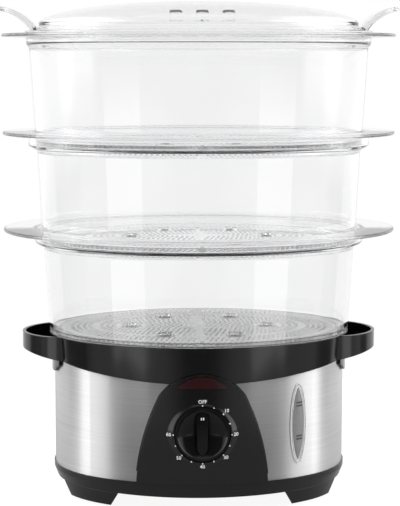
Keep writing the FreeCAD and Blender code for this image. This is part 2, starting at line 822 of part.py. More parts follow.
def ear_slab(name, drop):
    """A tilted block whose top is the ear's floor, lowered by drop, on the right."""
    length = "@ear_half_length * 3"
    height = "@rim_top / 2"
    tip = "@ear_centre + @ear_half_length"
    return box(
        name, length, "4 * @ear_half_width", height,
        x="%s - %s * cos(@ear_floor_slope) + %s * sin(@ear_floor_slope)" % (tip, length, height),
        y="-2 * @ear_half_width",
        z="@ear_floor_tip - %s - %s * sin(@ear_floor_slope) - %s * cos(@ear_floor_slope)"
          % (drop, length, height),
        pitch="-@ear_floor_slope",
    )


def ear_block(name, shrink, low, high):
    """The ear's rounded plan as a solid, on the right."""
    half_length = "@ear_half_length - " + shrink
    half_width = "@ear_half_width - " + shrink
    block = stack(name, [(half_width, half_length, low), (half_width, half_length, high)])
    return place(block, x="@ear_centre", yaw="90")


def ear_hollows():
    """Bowl, underside hollow and inlet of the right ear."""
    inner = ear_block("ear_inner", "@ear_wall", "@rim_low_level - 1", "@rim_top + 1")
    wall = stack("ear_body_wall", [
        ring("@rim_half_width", "@rim_low_level - 2"),
        ring("@rim_half_width", "@rim_top + 2"),
    ])
    free = cut("ear_free", inner, wall)
    bowl = cut("ear_bowl", free, ear_slab("ear_floor", "0"))
    hollow = common("ear_hollow", [free, ear_slab("ear_under", "@ear_wall")])
    inlet = box(
        "ear_inlet", "20", "2 * @inlet_half_width", "@inlet_height",
        x="@rim_half_width - 10", y="-@inlet_half_width", z="%s + 0.6" % SHOULDER_TOP,
    )
    return group("ear_hollows_right", [bowl, hollow, inlet])


def tub(name, shrink, low, high):
    """The oval well of the tank."""
    return stack(name, [
        ("@tub_low_half_width - " + shrink, "@tub_low_half_depth - " + shrink, low),
        ("@tub_high_half_width - " + shrink, "@tub_high_half_depth - " + shrink, high),
    ])


def rim_lugs():
    """Two locating lugs that hang from the rim over the steel, under the ears."""
    corners = [
        ("-@lug_half_width_low", "@lug_bottom"),
        ("@lug_half_width_low", "@lug_bottom"),
        ("@lug_half_width_high", "@lug_top"),
        ("@lug_half_width_high", SHOULDER_UNDER),
        ("-@lug_half_width_high", SHOULDER_UNDER),
        ("-@lug_half_width_high", "@lug_top"),
    ]
    span = "2 * @rim_half_width + 20"
    outline = prism("lug_outline", corners, span, x="-@rim_half_width - 10", yaw="90", roll="90")
    wall = sleeve("lug_wall", "@steel_half_width", "@lug_bottom - 1", SHOULDER_UNDER,
                  "@panel_gap", "@rim_low_half_width - @steel_half_width")
    return common("rim_lugs", [outline, wall])


def at_posts(name, radius, low, high):
    """Four upright cylinders on the cover screws' places."""
    return [
        cylinder(
            "%s_%s" % (name, corner), radius, "%s - (%s)" % (high, low),
            x="%d * @post_across" % right, y="%d * @post_along" % back, z=low,
        )
        for corner, right, back in CORNERS
    ]


def at_clamp(name, radius, low, high):
    """Three upright cylinders on the heater clamp's screw places."""
    return [
        cylinder(
            "%s_%d" % (name, i), radius, "%s - (%s)" % (high, low),
            x="@clamp_screw_place * cos(%d)" % (90 + 120 * i),
            y="@clamp_screw_place * sin(%d)" % (90 + 120 * i),
            z=low,
        )
        for i in range(3)
    ]


CLAMP_TOP = "(@tub_bottom - @seal_thickness - @heater_flange_thickness)"


def water_tank():
    """Rim, ears, shoulder and well in one moulding, with posts for the cover screws."""
    rim = stack("rim_outside", [
        ring("@rim_low_half_width", "@rim_low_level"),
        ring("@rim_half_width", "@rim_top"),
    ])
    ear = ear_block("ear_right", "0", "@rim_low_level", "@rim_top")
    sweep = rod_forward(
        "rim_sweep", "@rim_sweep_radius", "-@rim_half_width", "@rim_half_width",
        z="@rim_low_level + @rim_sweep_radius",
    )
    upper = common("rim_swept", [join("rim_and_ears", [rim, ear, across("ear_left", ear)]), sweep])
    over_steel = stack("over_steel", [
        ring("@steel_half_width", "@rim_low_level - 5", "@panel_gap"),
        ring("@steel_half_width", SHOULDER_UNDER, "@panel_gap"),
    ])
    upper = cut("rim_over_steel", upper, over_steel)
    well = tub("tub_outside", "0", "@tub_bottom", SHOULDER_TOP)
    posts = at_posts("post", "@post_radius", "%s + @seat_gap" % COVER_TOP, SHOULDER_TOP)
    bosses = at_clamp("clamp_boss", "@post_radius - 1", CLAMP_TOP, TUB_FLOOR)
    solid = join("tank_solid", [upper, rim_lugs(), well] + posts + bosses)
    chamber = stack("tank_chamber", [
        ring("@rim_half_width", SHOULDER_TOP, RIM_INSIDE),
        ring("@rim_half_width", "@rim_top + 1", RIM_INSIDE),
    ])
    hollows = ear_hollows()
    bores = at_posts("post_bore", "@screw_radius + @press_gap", COVER_TOP,
                     "%s + @screw_length + 2" % COVER_TOP)
    bores += at_clamp("clamp_bore", "@screw_radius + @press_gap", "%s - 1" % CLAMP_TOP,
                      "@tub_bottom")
    shell = cut(
        "tank_shell", solid, chamber,
        tub("tub_inside", "@tub_wall", TUB_FLOOR, "%s + 0.5" % SHOULDER_TOP),
        hollows,
        across("ear_hollows_left", hollows),
        panel_tool("panel_notch", "@panel_gap"),
        cylinder("heater_hole", "@heater_radius + @panel_gap", "@tub_wall + 2",
                 z="@tub_bottom - 1"),
        gauge_rod("hose_hole", "@hose_radius + @press_gap", "@hose_start + 8",
                  "@hose_length", "@hose_level"),
        group("tank_bores", bores),
    )
    ribs = [
        box(
            "tray_rib_" + corner, "@tray_rib_width", "@tray_rib_length",
            "@tray_flange_level - @seat_gap - %s + 0.5" % SHOULDER_TOP,
            x="%d * @tray_rib_across - @tray_rib_width / 2" % right,
            y="%d * @tray_rib_along - @tray_rib_length / 2" % back,
            z="%s - 0.5" % SHOULDER_TOP,
        )
        for corner, right, back in CORNERS
    ]
    return node(join("water_tank", [shell] + ribs), "water_tank")


water_tank()


# ---- steel band, housing, cover and feet -------------------------------------

GLAND_DEPTH = "(@skirt_half_width * @oval_ratio)"


def gland_tool(name, grow):
    return rod_forward(name, "@gland_radius + %s" % grow, "-%s - 5" % GLAND_DEPTH,
                       "-%s + 12" % GLAND_DEPTH, z="@gland_level")


def steel_band():
    """The brushed sleeve, cut out behind the control panel, the gauge and the gland."""
    band = sleeve("band", "@steel_half_width", "@steel_bottom", "@steel_top", "-@steel_wall", "0")
    return node(cut(
        "steel_band", band,
        panel_tool("band_panel_cut", "-@panel_overlap"),
        gauge_leaf("band_gauge_cut", "@gauge_frame - @press_gap", "5", "10"),
        gland_tool("band_gland_cut", "@panel_gap"),
    ), "steel_band")


def base_housing():
    """The black skirt that the steel stands in, with a ledge for the bottom cover."""
    skirt = stack("skirt", [
        ring("@skirt_bottom_half_width", "@skirt_bottom"),
        ring("@skirt_half_width", "@skirt_bulge_level"),
        ring("@skirt_half_width", "@skirt_top"),
    ])
    upstand = stack("upstand", [
        ring("@steel_half_width", "@skirt_bulge_level", "-@steel_wall - @press_gap"),
        ring("@steel_half_width", "@upstand_top", "-@steel_wall - @press_gap"),
    ])
    groove = sleeve("groove", "@steel_half_width", "@steel_bottom - @seat_gap",
                    "@skirt_top + 1", "-@steel_wall - @press_gap", "@press_gap")
    ledge_low = "%s + @seat_gap" % COVER_TOP
    ledge_high = "%s + @ledge_thickness" % ledge_low
    cavities = [
        stack("skirt_cavity_" + kind, [
            ring("@skirt_bottom_half_width", low, "-@skirt_wall - " + inset),
            ring("@skirt_bottom_half_width", high, "-@skirt_wall - " + inset),
        ])
        for kind, low, high, inset in (
            ("cover", "@skirt_bottom - 1", ledge_low, "0"),
            ("ledge", ledge_low + " - 1", ledge_high + " + 1", "@ledge_width"),
            ("upper", ledge_high, "@upstand_top + 1", "0"),
        )
    ]
    return node(cut(
        "base_housing", join("housing_solid", [skirt, upstand]), groove, *cavities,
        panel_tool("housing_panel_cut", "-@panel_overlap"),
        gland_tool("housing_gland_cut", "@press_gap"),
    ), "base_housing")


def foot(corner, right, back):
    """One wide tapered foot that follows the oval's outline.

    The end towards the middle runs straight back, so the front shows only its edge.
    """
    turn = "@foot_angle" if right * back < 0 else "-@foot_angle"
    half_turn = "180 + " if back > 0 else ""
    sections = []
    for kind, length, level in (
        ("low", "@foot_length_low", "@foot_clearance"),
        ("high", "@foot_length_high", "@skirt_bottom + 0.1"),
    ):
        outer = "%d * %s / 2" % (-right * back, length)
        inner = "%d * (%s / 2 - (%%s - @foot_face) * tan(@foot_angle))" % (right * back, length)
        corners = [
            (inner % "-@foot_outward", "-@foot_outward"),
            (outer, "-@foot_outward"),
            (outer, "@foot_inward"),
            (inner % "@foot_inward", "@foot_inward"),
        ]
        sections.append(free_sketch(
            "foot_%s_%s" % (corner, kind), corners,
            x="%d * @foot_half_width * sin(@foot_place_angle)" % right,
            y="%d * @foot_half_width * @oval_ratio * cos(@foot_place_angle)" % back,
            z=level,
            yaw=half_turn + turn,
        ))
    block = doc.addObject("Part::Loft", "foot_block_" + corner)
    block.Sections = sections
    block.Solid = True
    block.Ruled = True
    outline = stack("foot_outline_" + corner, [
        ring("@foot_half_width", "@foot_clearance"),
        ring("@skirt_bottom_half_width", "@skirt_bottom"),
    ])
    return common("foot_" + corner, [block, outline])


def at_pads(name, radius, low, high):
    """Four upright cylinders under the feet."""
    reach = "(@foot_half_width - @pad_inset)"
    return [
        cylinder(
            "%s_%s" % (name, corner), radius, "%s - (%s)" % (high, low),
            x="%d * %s * sin(@pad_place_angle)" % (right, reach),
            y="%d * %s * @oval_ratio * cos(@pad_place_angle)" % (back, reach),
            z=low,
        )
        for corner, right, back in CORNERS
    ]


def bottom_cover():
    """The floor plate with its four feet, screw holes and cooling slots."""
    plate = stack("cover_plate", [
        ring("@skirt_bottom_half_width", "@skirt_bottom", "-@skirt_wall - @panel_gap"),
        ring("@skirt_bottom_half_width", COVER_TOP, "-@skirt_wall - @panel_gap"),
    ])
    feet = [foot(*corner) for corner in CORNERS]
    tools = at_pads("pad_seat", "@pad_radius + @press_gap", "0",
                    "@pad_thickness + @seat_gap")
    tools += at_posts("cover_hole", "@screw_radius + @press_gap", "@skirt_bottom - 1",
                      "%s + 1" % COVER_TOP)
    tools += at_posts("cover_sink", "@screw_head_radius + @press_gap", "@skirt_bottom - 1",
                      "@skirt_bottom + @screw_head_sink")
    for i in range(7):
        tools.append(box(
            "cover_slot_%d" % i, "@cover_slot_width", "@cover_slot_length",
            "@cover_thickness + 2",
            x="%d * @cover_slot_pitch - @cover_slot_width / 2" % (i - 3),
            y="-@cover_slot_length / 2",
            z="@skirt_bottom - 1",
        ))
    return node(cut("bottom_cover", join("cover_solid", [plate] + feet),
                    group("cover_tools", tools)), "bottom_cover")


def cover_screws():
    head_top = "@skirt_bottom + @screw_head_sink"
    heads = at_posts("cover_screw_head", "@screw_head_radius",
                     "%s - @screw_head_height" % head_top, head_top)
    shanks = at_posts("cover_screw_shank", "@screw_radius", "%s - 0.1" % head_top,
                      "%s + @screw_length" % COVER_TOP)
    screws = [
        join("cover_screw_%d" % i, [head, shank])
        for i, (head, shank) in enumerate(zip(heads, shanks))
    ]
    return node(group("cover_screws", screws), "cover_screws")


steel_band()
base_housing()
bottom_cover()
cover_screws()
node(group("foot_pads", at_pads("pad", "@pad_radius", "0", "@pad_thickness")), "foot_pads")


# ---- control panel, timer and lamp -------------------------------------------

def at_timer_screws(name, radius, depth_back, depth_front):
    """Two cylinders along -Y above and below the timer."""
    return [
        rod_forward("%s_%s" % (name, kind), radius, depth_back, depth_front,
                    z="@dial_level %s @timer_screw_place" % sign)
        for kind, sign in (("upper", "+"), ("lower", "-"))
    ]


FASCIA_MIDDLE = "(@fascia_back + @panel_gap)"


def dial_collar():
    """The raised ring round the knob: a narrow land, then a cone down to the fascia."""
    land = "(@dial_bore + @collar_land)"
    return turned("dial_collar", [
        ("0", FASCIA_MIDDLE),
        (land + " + @collar_run", FASCIA_MIDDLE),
        (land + " + @collar_run", "@dial_front - @collar_fall"),
        (land, "@dial_front"),
        ("0", "@dial_front"),
    ], z="@dial_level", roll="90")


def control_panel():
    """The arched fascia with its dial collar, knob cup, timer flange and lamp socket."""
    wall = sleeve("fascia_wall", "@steel_half_width", "@skirt_top + @panel_gap",
                  "@panel_top + 1", "@panel_gap", "@panel_proud")
    fascia = common("fascia", [panel_tool("fascia_outline", "0"), wall])
    cup = rod_forward("dial_cup", "@dial_bore + @dial_wall", "@timer_face", FASCIA_MIDDLE,
                      z="@dial_level")
    flange = rod_forward("timer_flange", "@timer_flange_radius", "@timer_face",
                         "@timer_face + @timer_flange_thickness", z="@dial_level")
    lamp_boss = rod_forward("lamp_boss", "@lamp_radius + @press_gap + @lamp_boss_wall",
                            "@fascia_back - @lamp_boss_depth", "@fascia_back + @lens_seat / 2",
                            z="@lamp_level")
    screw_holes = at_timer_screws("timer_screw_hole", "@small_screw_radius + @press_gap",
                                  "@timer_face - 1", "@timer_face + @dial_wall")
    return node(cut(
        "control_panel", join("panel_solid", [fascia, dial_collar(), cup, flange, lamp_boss]),
        rod_forward("dial_bore", "@dial_bore", "@dial_floor", "@dial_front + 1",
                    z="@dial_level"),
        rod_forward("bush_hole", "@bush_radius + @press_gap", "@timer_face - 1",
                    "@panel_front", z="@dial_level"),
        lens_solid("lens_recess", "@press_gap", "@panel_gap + @lens_seat", "@panel_proud + 2"),
        front_prism("lens_window", lens_corners("-@lens_ledge"), "@steel_front - @lens_seat",
                    "@panel_front"),
        rod_forward("lamp_bore", "@lamp_radius + @press_gap",
                    "@fascia_back - @lamp_boss_depth - 1", "@lens_back", z="@lamp_level"),
        group("timer_screw_holes", screw_holes),
    ), "control_panel")


def indicator_lens():
    lens = lens_solid("indicator_lens", "0", "@panel_gap + @lens_seat + @seat_gap",
                      "@panel_proud + @lens_proud")
    return node(lens, "indicator_lens")


def timer_knob():
    """The knob: a round cup with a spherical bowl that a spindle-shaped grip crosses."""
    bowl_radius = "(@knob_radius - @knob_edge - @knob_rim - @knob_bevel)"
    bowl_top = "(@knob_height - @knob_bevel)"
    bowl_floor = "(%s - @knob_bowl_depth)" % bowl_top
    curve = "((%s ^ 2 + @knob_bowl_depth ^ 2) / (2 * @knob_bowl_depth))" % bowl_radius
    web = "(%s + @knob_web)" % curve
    under = "%s + %s - sqrt(%s ^ 2 - (%%s) ^ 2)" % (bowl_floor, curve, web)
    inside = "@knob_radius - @knob_wall"
    owner = turned("knob_body", [
        ("0", "@knob_gap"),
        ("@knob_hub_radius", "@knob_gap"),
        ("@knob_hub_radius", under % "@knob_hub_radius", web),
        (inside, under % inside),
        (inside, "@knob_gap"),
        ("@knob_radius", "@knob_gap"),
        ("@knob_radius", "@knob_height - @knob_edge"),
        ("@knob_radius - @knob_edge", "@knob_height"),
        ("@knob_radius - @knob_edge - @knob_rim", "@knob_height"),
        (bowl_radius, bowl_top, "-" + curve),
        ("0", bowl_floor),
    ], y="-@dial_floor", z="@dial_level", roll="90")
    half = "@knob_grip_width / 2"
    end = "@knob_grip_length / 2"
    shoulder = "(@knob_grip_length / 2 - @knob_grip_point)"
    nose = "@knob_grip_point * 1.4"
    grip = body_sketch(owner, "knob_grip_outline", "XY_Plane", [
        (half, "-" + shoulder),
        (half, shoulder, nose),
        ("0", end, nose),
        ("-" + half, shoulder),
        ("-" + half, "-" + shoulder, nose),
        ("0", "-" + end, nose),
    ], offset="@knob_gap + 0.5")
    padded(owner, "knob_grip", grip, "@knob_height - @knob_grip_drop - @knob_gap - 0.5")
    bore = rod_forward("knob_bore", "@shaft_radius + @shaft_gap", "@timer_face",
                       "@dial_floor + @knob_bore_depth", z="@dial_level")
    return node(cut("timer_knob_bored", owner, bore), "timer_knob")


def timer_shaft():
    return node(rod_forward("timer_shaft", "@shaft_radius", "@timer_face - @shaft_tail",
                            "@dial_floor + @knob_bore_depth - @seat_gap", z="@dial_level"),
                "timer_shaft")


def timer_body():
    """Clockwork case with its front plate and the bush that carries the shaft."""
    half = "@timer_half_width"
    case = box(
        "timer_case", "2 * " + half, "@timer_depth", "2 * " + half,
        x="-" + half, y="@timer_plate - @timer_face", z="@dial_level - " + half,
    )
    plate = rod_forward("timer_plate", "@timer_flange_radius",
                        "@timer_face - @timer_plate - 0.1", "@timer_face - @seat_gap",
                        z="@dial_level")
    bush = rod_forward("timer_bush", "@bush_radius", "@timer_face - 1",
                       "@dial_floor - @seat_gap", z="@dial_level")
    bore = rod_forward("timer_bore", "@shaft_radius + @shaft_gap",
                       "@timer_face - @shaft_tail - @seat_gap", "@panel_front",
                       z="@dial_level")
    holes = at_timer_screws("timer_plate_hole", "@small_screw_radius + @press_gap",
                            "@timer_face - @timer_plate - 5", "@timer_face")
    return node(cut("timer_body", join("timer_solid", [case, plate, bush]), bore, *holes),
                "timer_body")


def timer_screws():
    screws = []
    plate_back = "(@timer_face - @timer_plate - @seat_gap)"
    heads = at_timer_screws("timer_screw_head", "@small_screw_radius * 1.7",
                            plate_back + " - 1.6", plate_back)
    shanks = at_timer_screws("timer_screw_shank", "@small_screw_radius", plate_back + " - 0.1",
                             "@timer_face + @dial_wall - @seat_gap")
    for i, (head, shank) in enumerate(zip(heads, shanks)):
        screws.append(join("timer_screw_%d" % i, [head, shank]))
    return node(group("timer_screws", screws), "timer_screws")


def timer_bell():
    """The gong on the timer's side that rings at zero."""
    rim = "@bell_radius"
    inner = "@bell_radius - 1"
    top = "@bell_height"
    return node(turned("timer_bell", [
        ("0", "0"), ("2", "0"), ("2", top + " - 1"), (inner, top + " - 1"), (inner, "1.5"),
        (rim, "1.5"), (rim, top), ("0", top),
    ], x="@timer_half_width + @seat_gap",
        y="@timer_plate + @bell_radius + @bell_room - @timer_face",
        z="@dial_level", pitch="90"), "timer_bell")


def indicator_lamp():
    front = "(@lens_back - @seat_gap)"
    return node(rod_forward("indicator_lamp", "@lamp_radius", front + " - @lamp_length", front,
                            z="@lamp_level"), "indicator_lamp")


control_panel()
indicator_lens()
timer_knob()
timer_shaft()
timer_body()
timer_screws()
timer_bell()
indicator_lamp()


# ---- water gauge -------------------------------------------------------------

def gauge_window():
    """The clear leaf that shows the water level: a thin frame outside, a plug inside."""
    frame_leaf = gauge_leaf("gauge_frame", "0", "-@press_gap", "@gauge_proud")
    plug = gauge_leaf("gauge_plug", "@gauge_frame", "@gauge_plug_depth",
                      "@gauge_plug_depth + @gauge_proud")
    dish = gauge_leaf("gauge_dish", "@gauge_frame", "-@gauge_proud + @gauge_dish_depth", "5")
    return node(cut("gauge_window", join("gauge_solid", [frame_leaf, plug]), dish),
                "gauge_window")


def gauge_seal():
    outer = gauge_leaf("seal_outer", "0", "@gauge_plug_depth", "@gauge_seal_thickness")
    inner = gauge_leaf("seal_inner", "@gauge_frame - @press_gap", "@gauge_plug_depth + 1", "5")
    return node(cut("gauge_seal", outer, inner), "gauge_seal")


CHAMBER_FRONT = "(@gauge_plug_depth + @seat_gap)"


def chamber_box(name, shrink, start, depth):
    """An upright box behind the gauge, from a depth inward."""
    half = "(@chamber_half_width - %s)" % shrink
    tall = "(@chamber_half_height - %s)" % shrink
    where = gauge_point("-" + half, start)
    return box(name, "2 * " + half, depth, "2 * " + tall, yaw=GAUGE_TURN,
               z="@gauge_level - " + tall, **where)


def sight_chamber():
    outer = chamber_box("chamber_outer", "0", CHAMBER_FRONT, "@chamber_depth")
    inner = chamber_box("chamber_inner", "@chamber_wall", CHAMBER_FRONT + " - 1",
                        "@chamber_depth - @chamber_wall + 1")
    hole = gauge_rod("chamber_hole", "@hose_radius + @press_gap", CHAMBER_FRONT + " + 1",
                     "@chamber_depth + 5", "@hose_level")
    return node(cut("sight_chamber", outer, inner, hole), "sight_chamber")


def gauge_hose():
    outer = gauge_rod("hose_outer", "@hose_radius", "@hose_start", "@hose_length", "@hose_level")
    inner = gauge_rod("hose_inner", "@hose_radius - @hose_wall", "@hose_start - 1",
                      "@hose_length + 2", "@hose_level")
    return node(cut("gauge_hose", outer, inner), "gauge_hose")


gauge_window()
gauge_seal()
sight_chamber()
gauge_hose()


# ---- heater ------------------------------------------------------------------

def heater():
    """Cast heater plate, seal, sheathed element, clamp, screws and safety switches."""
    flange_under = CLAMP_TOP
    flange_top = "(@tub_bottom - @seal_thickness)"
    node(turned("heater_plate", [
        ("0", flange_under),
        ("@heater_flange_radius", flange_under),
        ("@heater_flange_radius", flange_top),
        ("@heater_radius", flange_top),
        ("@heater_radius", "%s + @heater_rise - 1.5" % TUB_FLOOR),
        ("@heater_radius - 1.5", "%s + @heater_rise" % TUB_FLOOR),
        ("0", "%s + @heater_rise" % TUB_FLOOR),
    ]), "heater_plate")
    node(turned("heater_seal", [
        ("@heater_radius + @press_gap", flange_top),
        ("@heater_flange_radius", flange_top),
        ("@heater_flange_radius", "@tub_bottom"),
        ("@heater_radius + @press_gap", "@tub_bottom"),
    ]), "heater_seal")
    element_level = "(%s - @element_tube_radius)" % flange_under
    loop = doc.addObject("Part::Torus", "element_loop")
    bind(loop, Radius1="@element_radius", Radius2="@element_tube_radius", Angle3="300")
    place(loop, z=element_level, yaw="30")
    ends = [
        cylinder(
            "element_end_%d" % i, "@element_tube_radius", "@element_end_length",
            x="@element_radius * cos(%d)" % angle, y="@element_radius * sin(%d)" % angle,
            z="%s - @element_end_length" % element_level,
        )
        for i, angle in enumerate((30, 330))
    ]
    node(join("heating_element", [loop] + ends), "heating_element")
    clamp_low = "(%s - @clamp_thickness)" % flange_under
    clamp = turned("clamp_disc", [
        ("@clamp_inner_radius", clamp_low),
        ("@clamp_radius", clamp_low),
        ("@clamp_radius", flange_under),
        ("@clamp_inner_radius", flange_under),
    ])
    holes = at_clamp("clamp_hole", "@screw_radius + @press_gap", clamp_low + " - 1",
                     flange_under + " + 1")
    node(cut("heater_clamp", clamp, *holes), "heater_clamp")
    heads = at_clamp("clamp_screw_head", "@screw_head_radius", clamp_low + " - @screw_head_height",
                     clamp_low)
    shanks = at_clamp("clamp_screw_shank", "@screw_radius", clamp_low + " - 0.1",
                      "@tub_bottom - @seat_gap")
    screws = [
        join("clamp_screw_%d" % i, [head, shank])
        for i, (head, shank) in enumerate(zip(heads, shanks))
    ]
    node(group("clamp_screws", screws), "clamp_screws")
    node(cylinder("thermostat", "@thermostat_radius", "@thermostat_height",
                  z="%s - @thermostat_height" % flange_under), "thermostat")
    node(cylinder("thermal_fuse", "@fuse_radius", "@fuse_length",
                  x="-@fuse_length / 2", y="@thermostat_radius + 2 * @fuse_radius",
                  z="%s - @fuse_radius" % flange_under, pitch="90"), "thermal_fuse")


heater()
node(box("terminal_block", "@terminal_length", "@terminal_width", "@terminal_height",
         x="-@terminal_length / 2", y="@terminal_place", z=COVER_TOP), "terminal_block")


# ---- steam ring, drip tray, cord gland ---------------------------------------

def steam_ring():
    """The upright ring around the heater, notched below so that water runs in."""
    low = "(%s + @seat_gap)" % TUB_FLOOR
    high = "(%s + @ring_height)" % low
    shell = turned("steam_ring_shell", [
        ("@ring_radius - @ring_wall", low),
        ("@ring_radius", low),
        ("@ring_radius", high),
        ("@ring_radius - @ring_lip", high),
        ("@ring_radius - @ring_lip", high + " - @ring_wall"),
        ("@ring_radius - @ring_wall", high + " - @ring_wall"),
    ])
    notches = []
    for i in range(3):
        angle = "%d" % (30 + 60 * i)
        notches.append(box(
            "ring_notch_%d" % i, "4 * @ring_radius", "@ring_notch_width",
            "@ring_notch_height + 1",
            x="-2 * @ring_radius * cos(%s) + @ring_notch_width / 2 * sin(%s)" % (angle, angle),
            y="-2 * @ring_radius * sin(%s) - @ring_notch_width / 2 * cos(%s)" % (angle, angle),
            z=low + " - 1", yaw=angle,
        ))
    return node(cut("steam_ring", shell, *notches), "steam_ring")


def drip_tray():
    """The oval tray that catches juices, with a chimney that lets the steam rise."""
    basin = stack("tray_basin", [
        ("@tray_low_half_width", "@tray_low_half_depth", "@tray_bottom"),
        ("@tray_high_half_width", "@tray_high_half_depth", "@tray_flange_level + 0.5"),
    ])
    flange = stack("tray_flange", [
        ring("@rim_half_width", "@tray_flange_level", "-@rim_wall - @slip_gap"),
        ring("@rim_half_width", "@tray_flange_level + @tray_flange_thickness",
             "-@rim_wall - @slip_gap"),
    ])
    hollow = stack("tray_hollow", [
        ("@tray_low_half_width - @tray_wall", "@tray_low_half_depth - @tray_wall",
         "@tray_bottom + @tray_wall"),
        ("@tray_high_half_width - @tray_wall", "@tray_high_half_depth - @tray_wall",
         "@tray_flange_level + @tray_flange_thickness + 0.1"),
    ])
    chimney = cylinder("chimney", "@chimney_radius", "@chimney_top - @tray_bottom",
                       z="@tray_bottom")
    throat = cylinder("chimney_throat", "@chimney_radius - @tray_wall",
                      "@chimney_top - @tray_bottom + 2", z="@tray_bottom - 1")
    shell = cut("tray_shell", join("tray_solid", [basin, flange]), hollow)
    return node(cut("drip_tray", join("tray_with_chimney", [shell, chimney]), throat),
                "drip_tray")


def cord_gland():
    """The grommet that the mains lead would leave by, low at the rear."""
    sleeve_part = gland_core("gland_sleeve", "@gland_radius", "-3", "@gland_length - 3")
    collar = gland_core("gland_collar", "@gland_radius + 1.4", "@seat_gap", "1.8")
    bore = gland_core("gland_bore", "@gland_radius - 1.3", "-4", "@gland_length")
    return node(cut("cord_gland", join("gland_solid", [sleeve_part, collar]), bore),
                "cord_gland")


def gland_core(name, radius, inward, outward):
    """A cylinder through the rear of the skirt, from inside it to outside it."""
    return rod_forward(name, radius, "-%s - (%s)" % (GLAND_DEPTH, outward),
                       "-%s - (%s)" % (GLAND_DEPTH, inward), z="@gland_level")


steam_ring()
drip_tray()
cord_gland()


# ---- build, check and export -------------------------------------------------

doc.recompute()
for thing in doc.Objects:
    if "Invalid" in thing.State or "Error" in thing.State:
        raise RuntimeError("%s did not build: %s" % (thing.Name, thing.State))

os.makedirs("parts", exist_ok=True)
for thing in NODES:
    if thing.Shape.isNull() or not thing.Shape.isValid() or not thing.Shape.Solids:
        raise RuntimeError("%s has no valid solid" % thing.Label)
    thing.Shape.exportStep("parts/%s.step" % thing.Label)
    print(thing.Label, len(thing.Shape.Solids), round(thing.Shape.Volume, 1))
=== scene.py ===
"""Electric food steamer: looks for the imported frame. Metres, +Z up, front towards -Y."""
import json
import math

import bmesh
import bpy
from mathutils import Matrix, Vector
from mathutils.geometry import convex_hull_2d, delaunay_2d_cdt


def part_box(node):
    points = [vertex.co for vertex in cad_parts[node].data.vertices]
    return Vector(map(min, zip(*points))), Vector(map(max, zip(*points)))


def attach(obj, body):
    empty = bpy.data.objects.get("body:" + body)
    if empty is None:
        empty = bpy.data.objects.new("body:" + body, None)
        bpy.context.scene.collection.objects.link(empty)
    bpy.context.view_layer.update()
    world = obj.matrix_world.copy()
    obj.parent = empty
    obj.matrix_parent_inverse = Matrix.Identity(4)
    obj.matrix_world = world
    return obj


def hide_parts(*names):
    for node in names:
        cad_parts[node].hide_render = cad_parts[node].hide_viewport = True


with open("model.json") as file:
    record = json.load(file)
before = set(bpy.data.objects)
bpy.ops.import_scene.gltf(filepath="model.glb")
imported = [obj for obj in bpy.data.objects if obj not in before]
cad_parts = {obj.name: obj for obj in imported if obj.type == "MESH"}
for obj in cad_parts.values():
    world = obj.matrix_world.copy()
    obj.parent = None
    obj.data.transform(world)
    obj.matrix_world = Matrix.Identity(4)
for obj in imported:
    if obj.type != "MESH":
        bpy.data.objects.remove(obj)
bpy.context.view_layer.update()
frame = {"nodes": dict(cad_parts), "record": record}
NODES = frame["nodes"]
MM = 0.001


def scene_object(name, data):
    """A new object in the scene."""
    made = bpy.data.objects.new(name, data)
    bpy.context.scene.collection.objects.link(made)
    return made


# ---- camera ------------------------------------------------------------------

# Fitted to the photograph; the picture is 400 x 506 pixels.
FOCAL_PIXELS = 1680
LONG_SIDE_PIXELS = 506
SENSOR = 36
CAMERA_PLACE = (-0.038, -1.2804, 0.3313)
CAMERA_DOWN = 6.71
CAMERA_YAW = -1.74


def make_camera():
    """The camera at the photograph's viewing angle."""
    camera = scene_object("camera", bpy.data.cameras.new("camera"))
    camera.data.sensor_width = SENSOR
    camera.data.lens = FOCAL_PIXELS / LONG_SIDE_PIXELS * SENSOR
    camera.location = CAMERA_PLACE
    camera.rotation_euler = (math.radians(90 - CAMERA_DOWN), 0, math.radians(CAMERA_YAW))
    bpy.context.scene.camera = camera


make_camera()


# ---- material helpers --------------------------------------------------------

def new_material(name):
    """A node material with its principled shader."""
    material = bpy.data.materials.new(name)
    material.use_nodes = True
    return material, material.node_tree, material.node_tree.nodes["Principled BSDF"]


def add_node(tree, kind, **settings):
    """A node whose attributes and input values are set by name."""
    made = tree.nodes.new(kind)
    for key, setting in settings.items():
        if hasattr(made, key):
            setattr(made, key, setting)
        else:
            made.inputs[key.replace("_", " ")].default_value = setting
    return made


def link(tree, source, output, target, socket):
    """A link between sockets given by name or number."""
    tree.links.new(source.outputs[output], target.inputs[socket])


def grain(tree, scale, detail=3.0, stretch=(1, 1, 1)):
    """A noise texture over the frame's own metres."""
    place = add_node(tree, "ShaderNodeTexCoord")
    mapping = add_node(tree, "ShaderNodeMapping")
    mapping.inputs["Scale"].default_value = stretch
    noise = add_node(tree, "ShaderNodeTexNoise", Scale=scale, Detail=detail)
    link(tree, place, "Object", mapping, "Vector")
    link(tree, mapping, "Vector", noise, "Vector")
    return noise


def ramp_between(tree, source, low, high):
    """Colours from low to high over the middle of a noise's values."""
    ramp = add_node(tree, "ShaderNodeValToRGB")
    for element, place, colour in zip(ramp.color_ramp.elements, (0.3, 0.7), (low, high)):
        element.position = place
        element.color = colour
    link(tree, source, 0, ramp, 0)
    return ramp


def grey(level):
    return (level, level, level, 1.0)


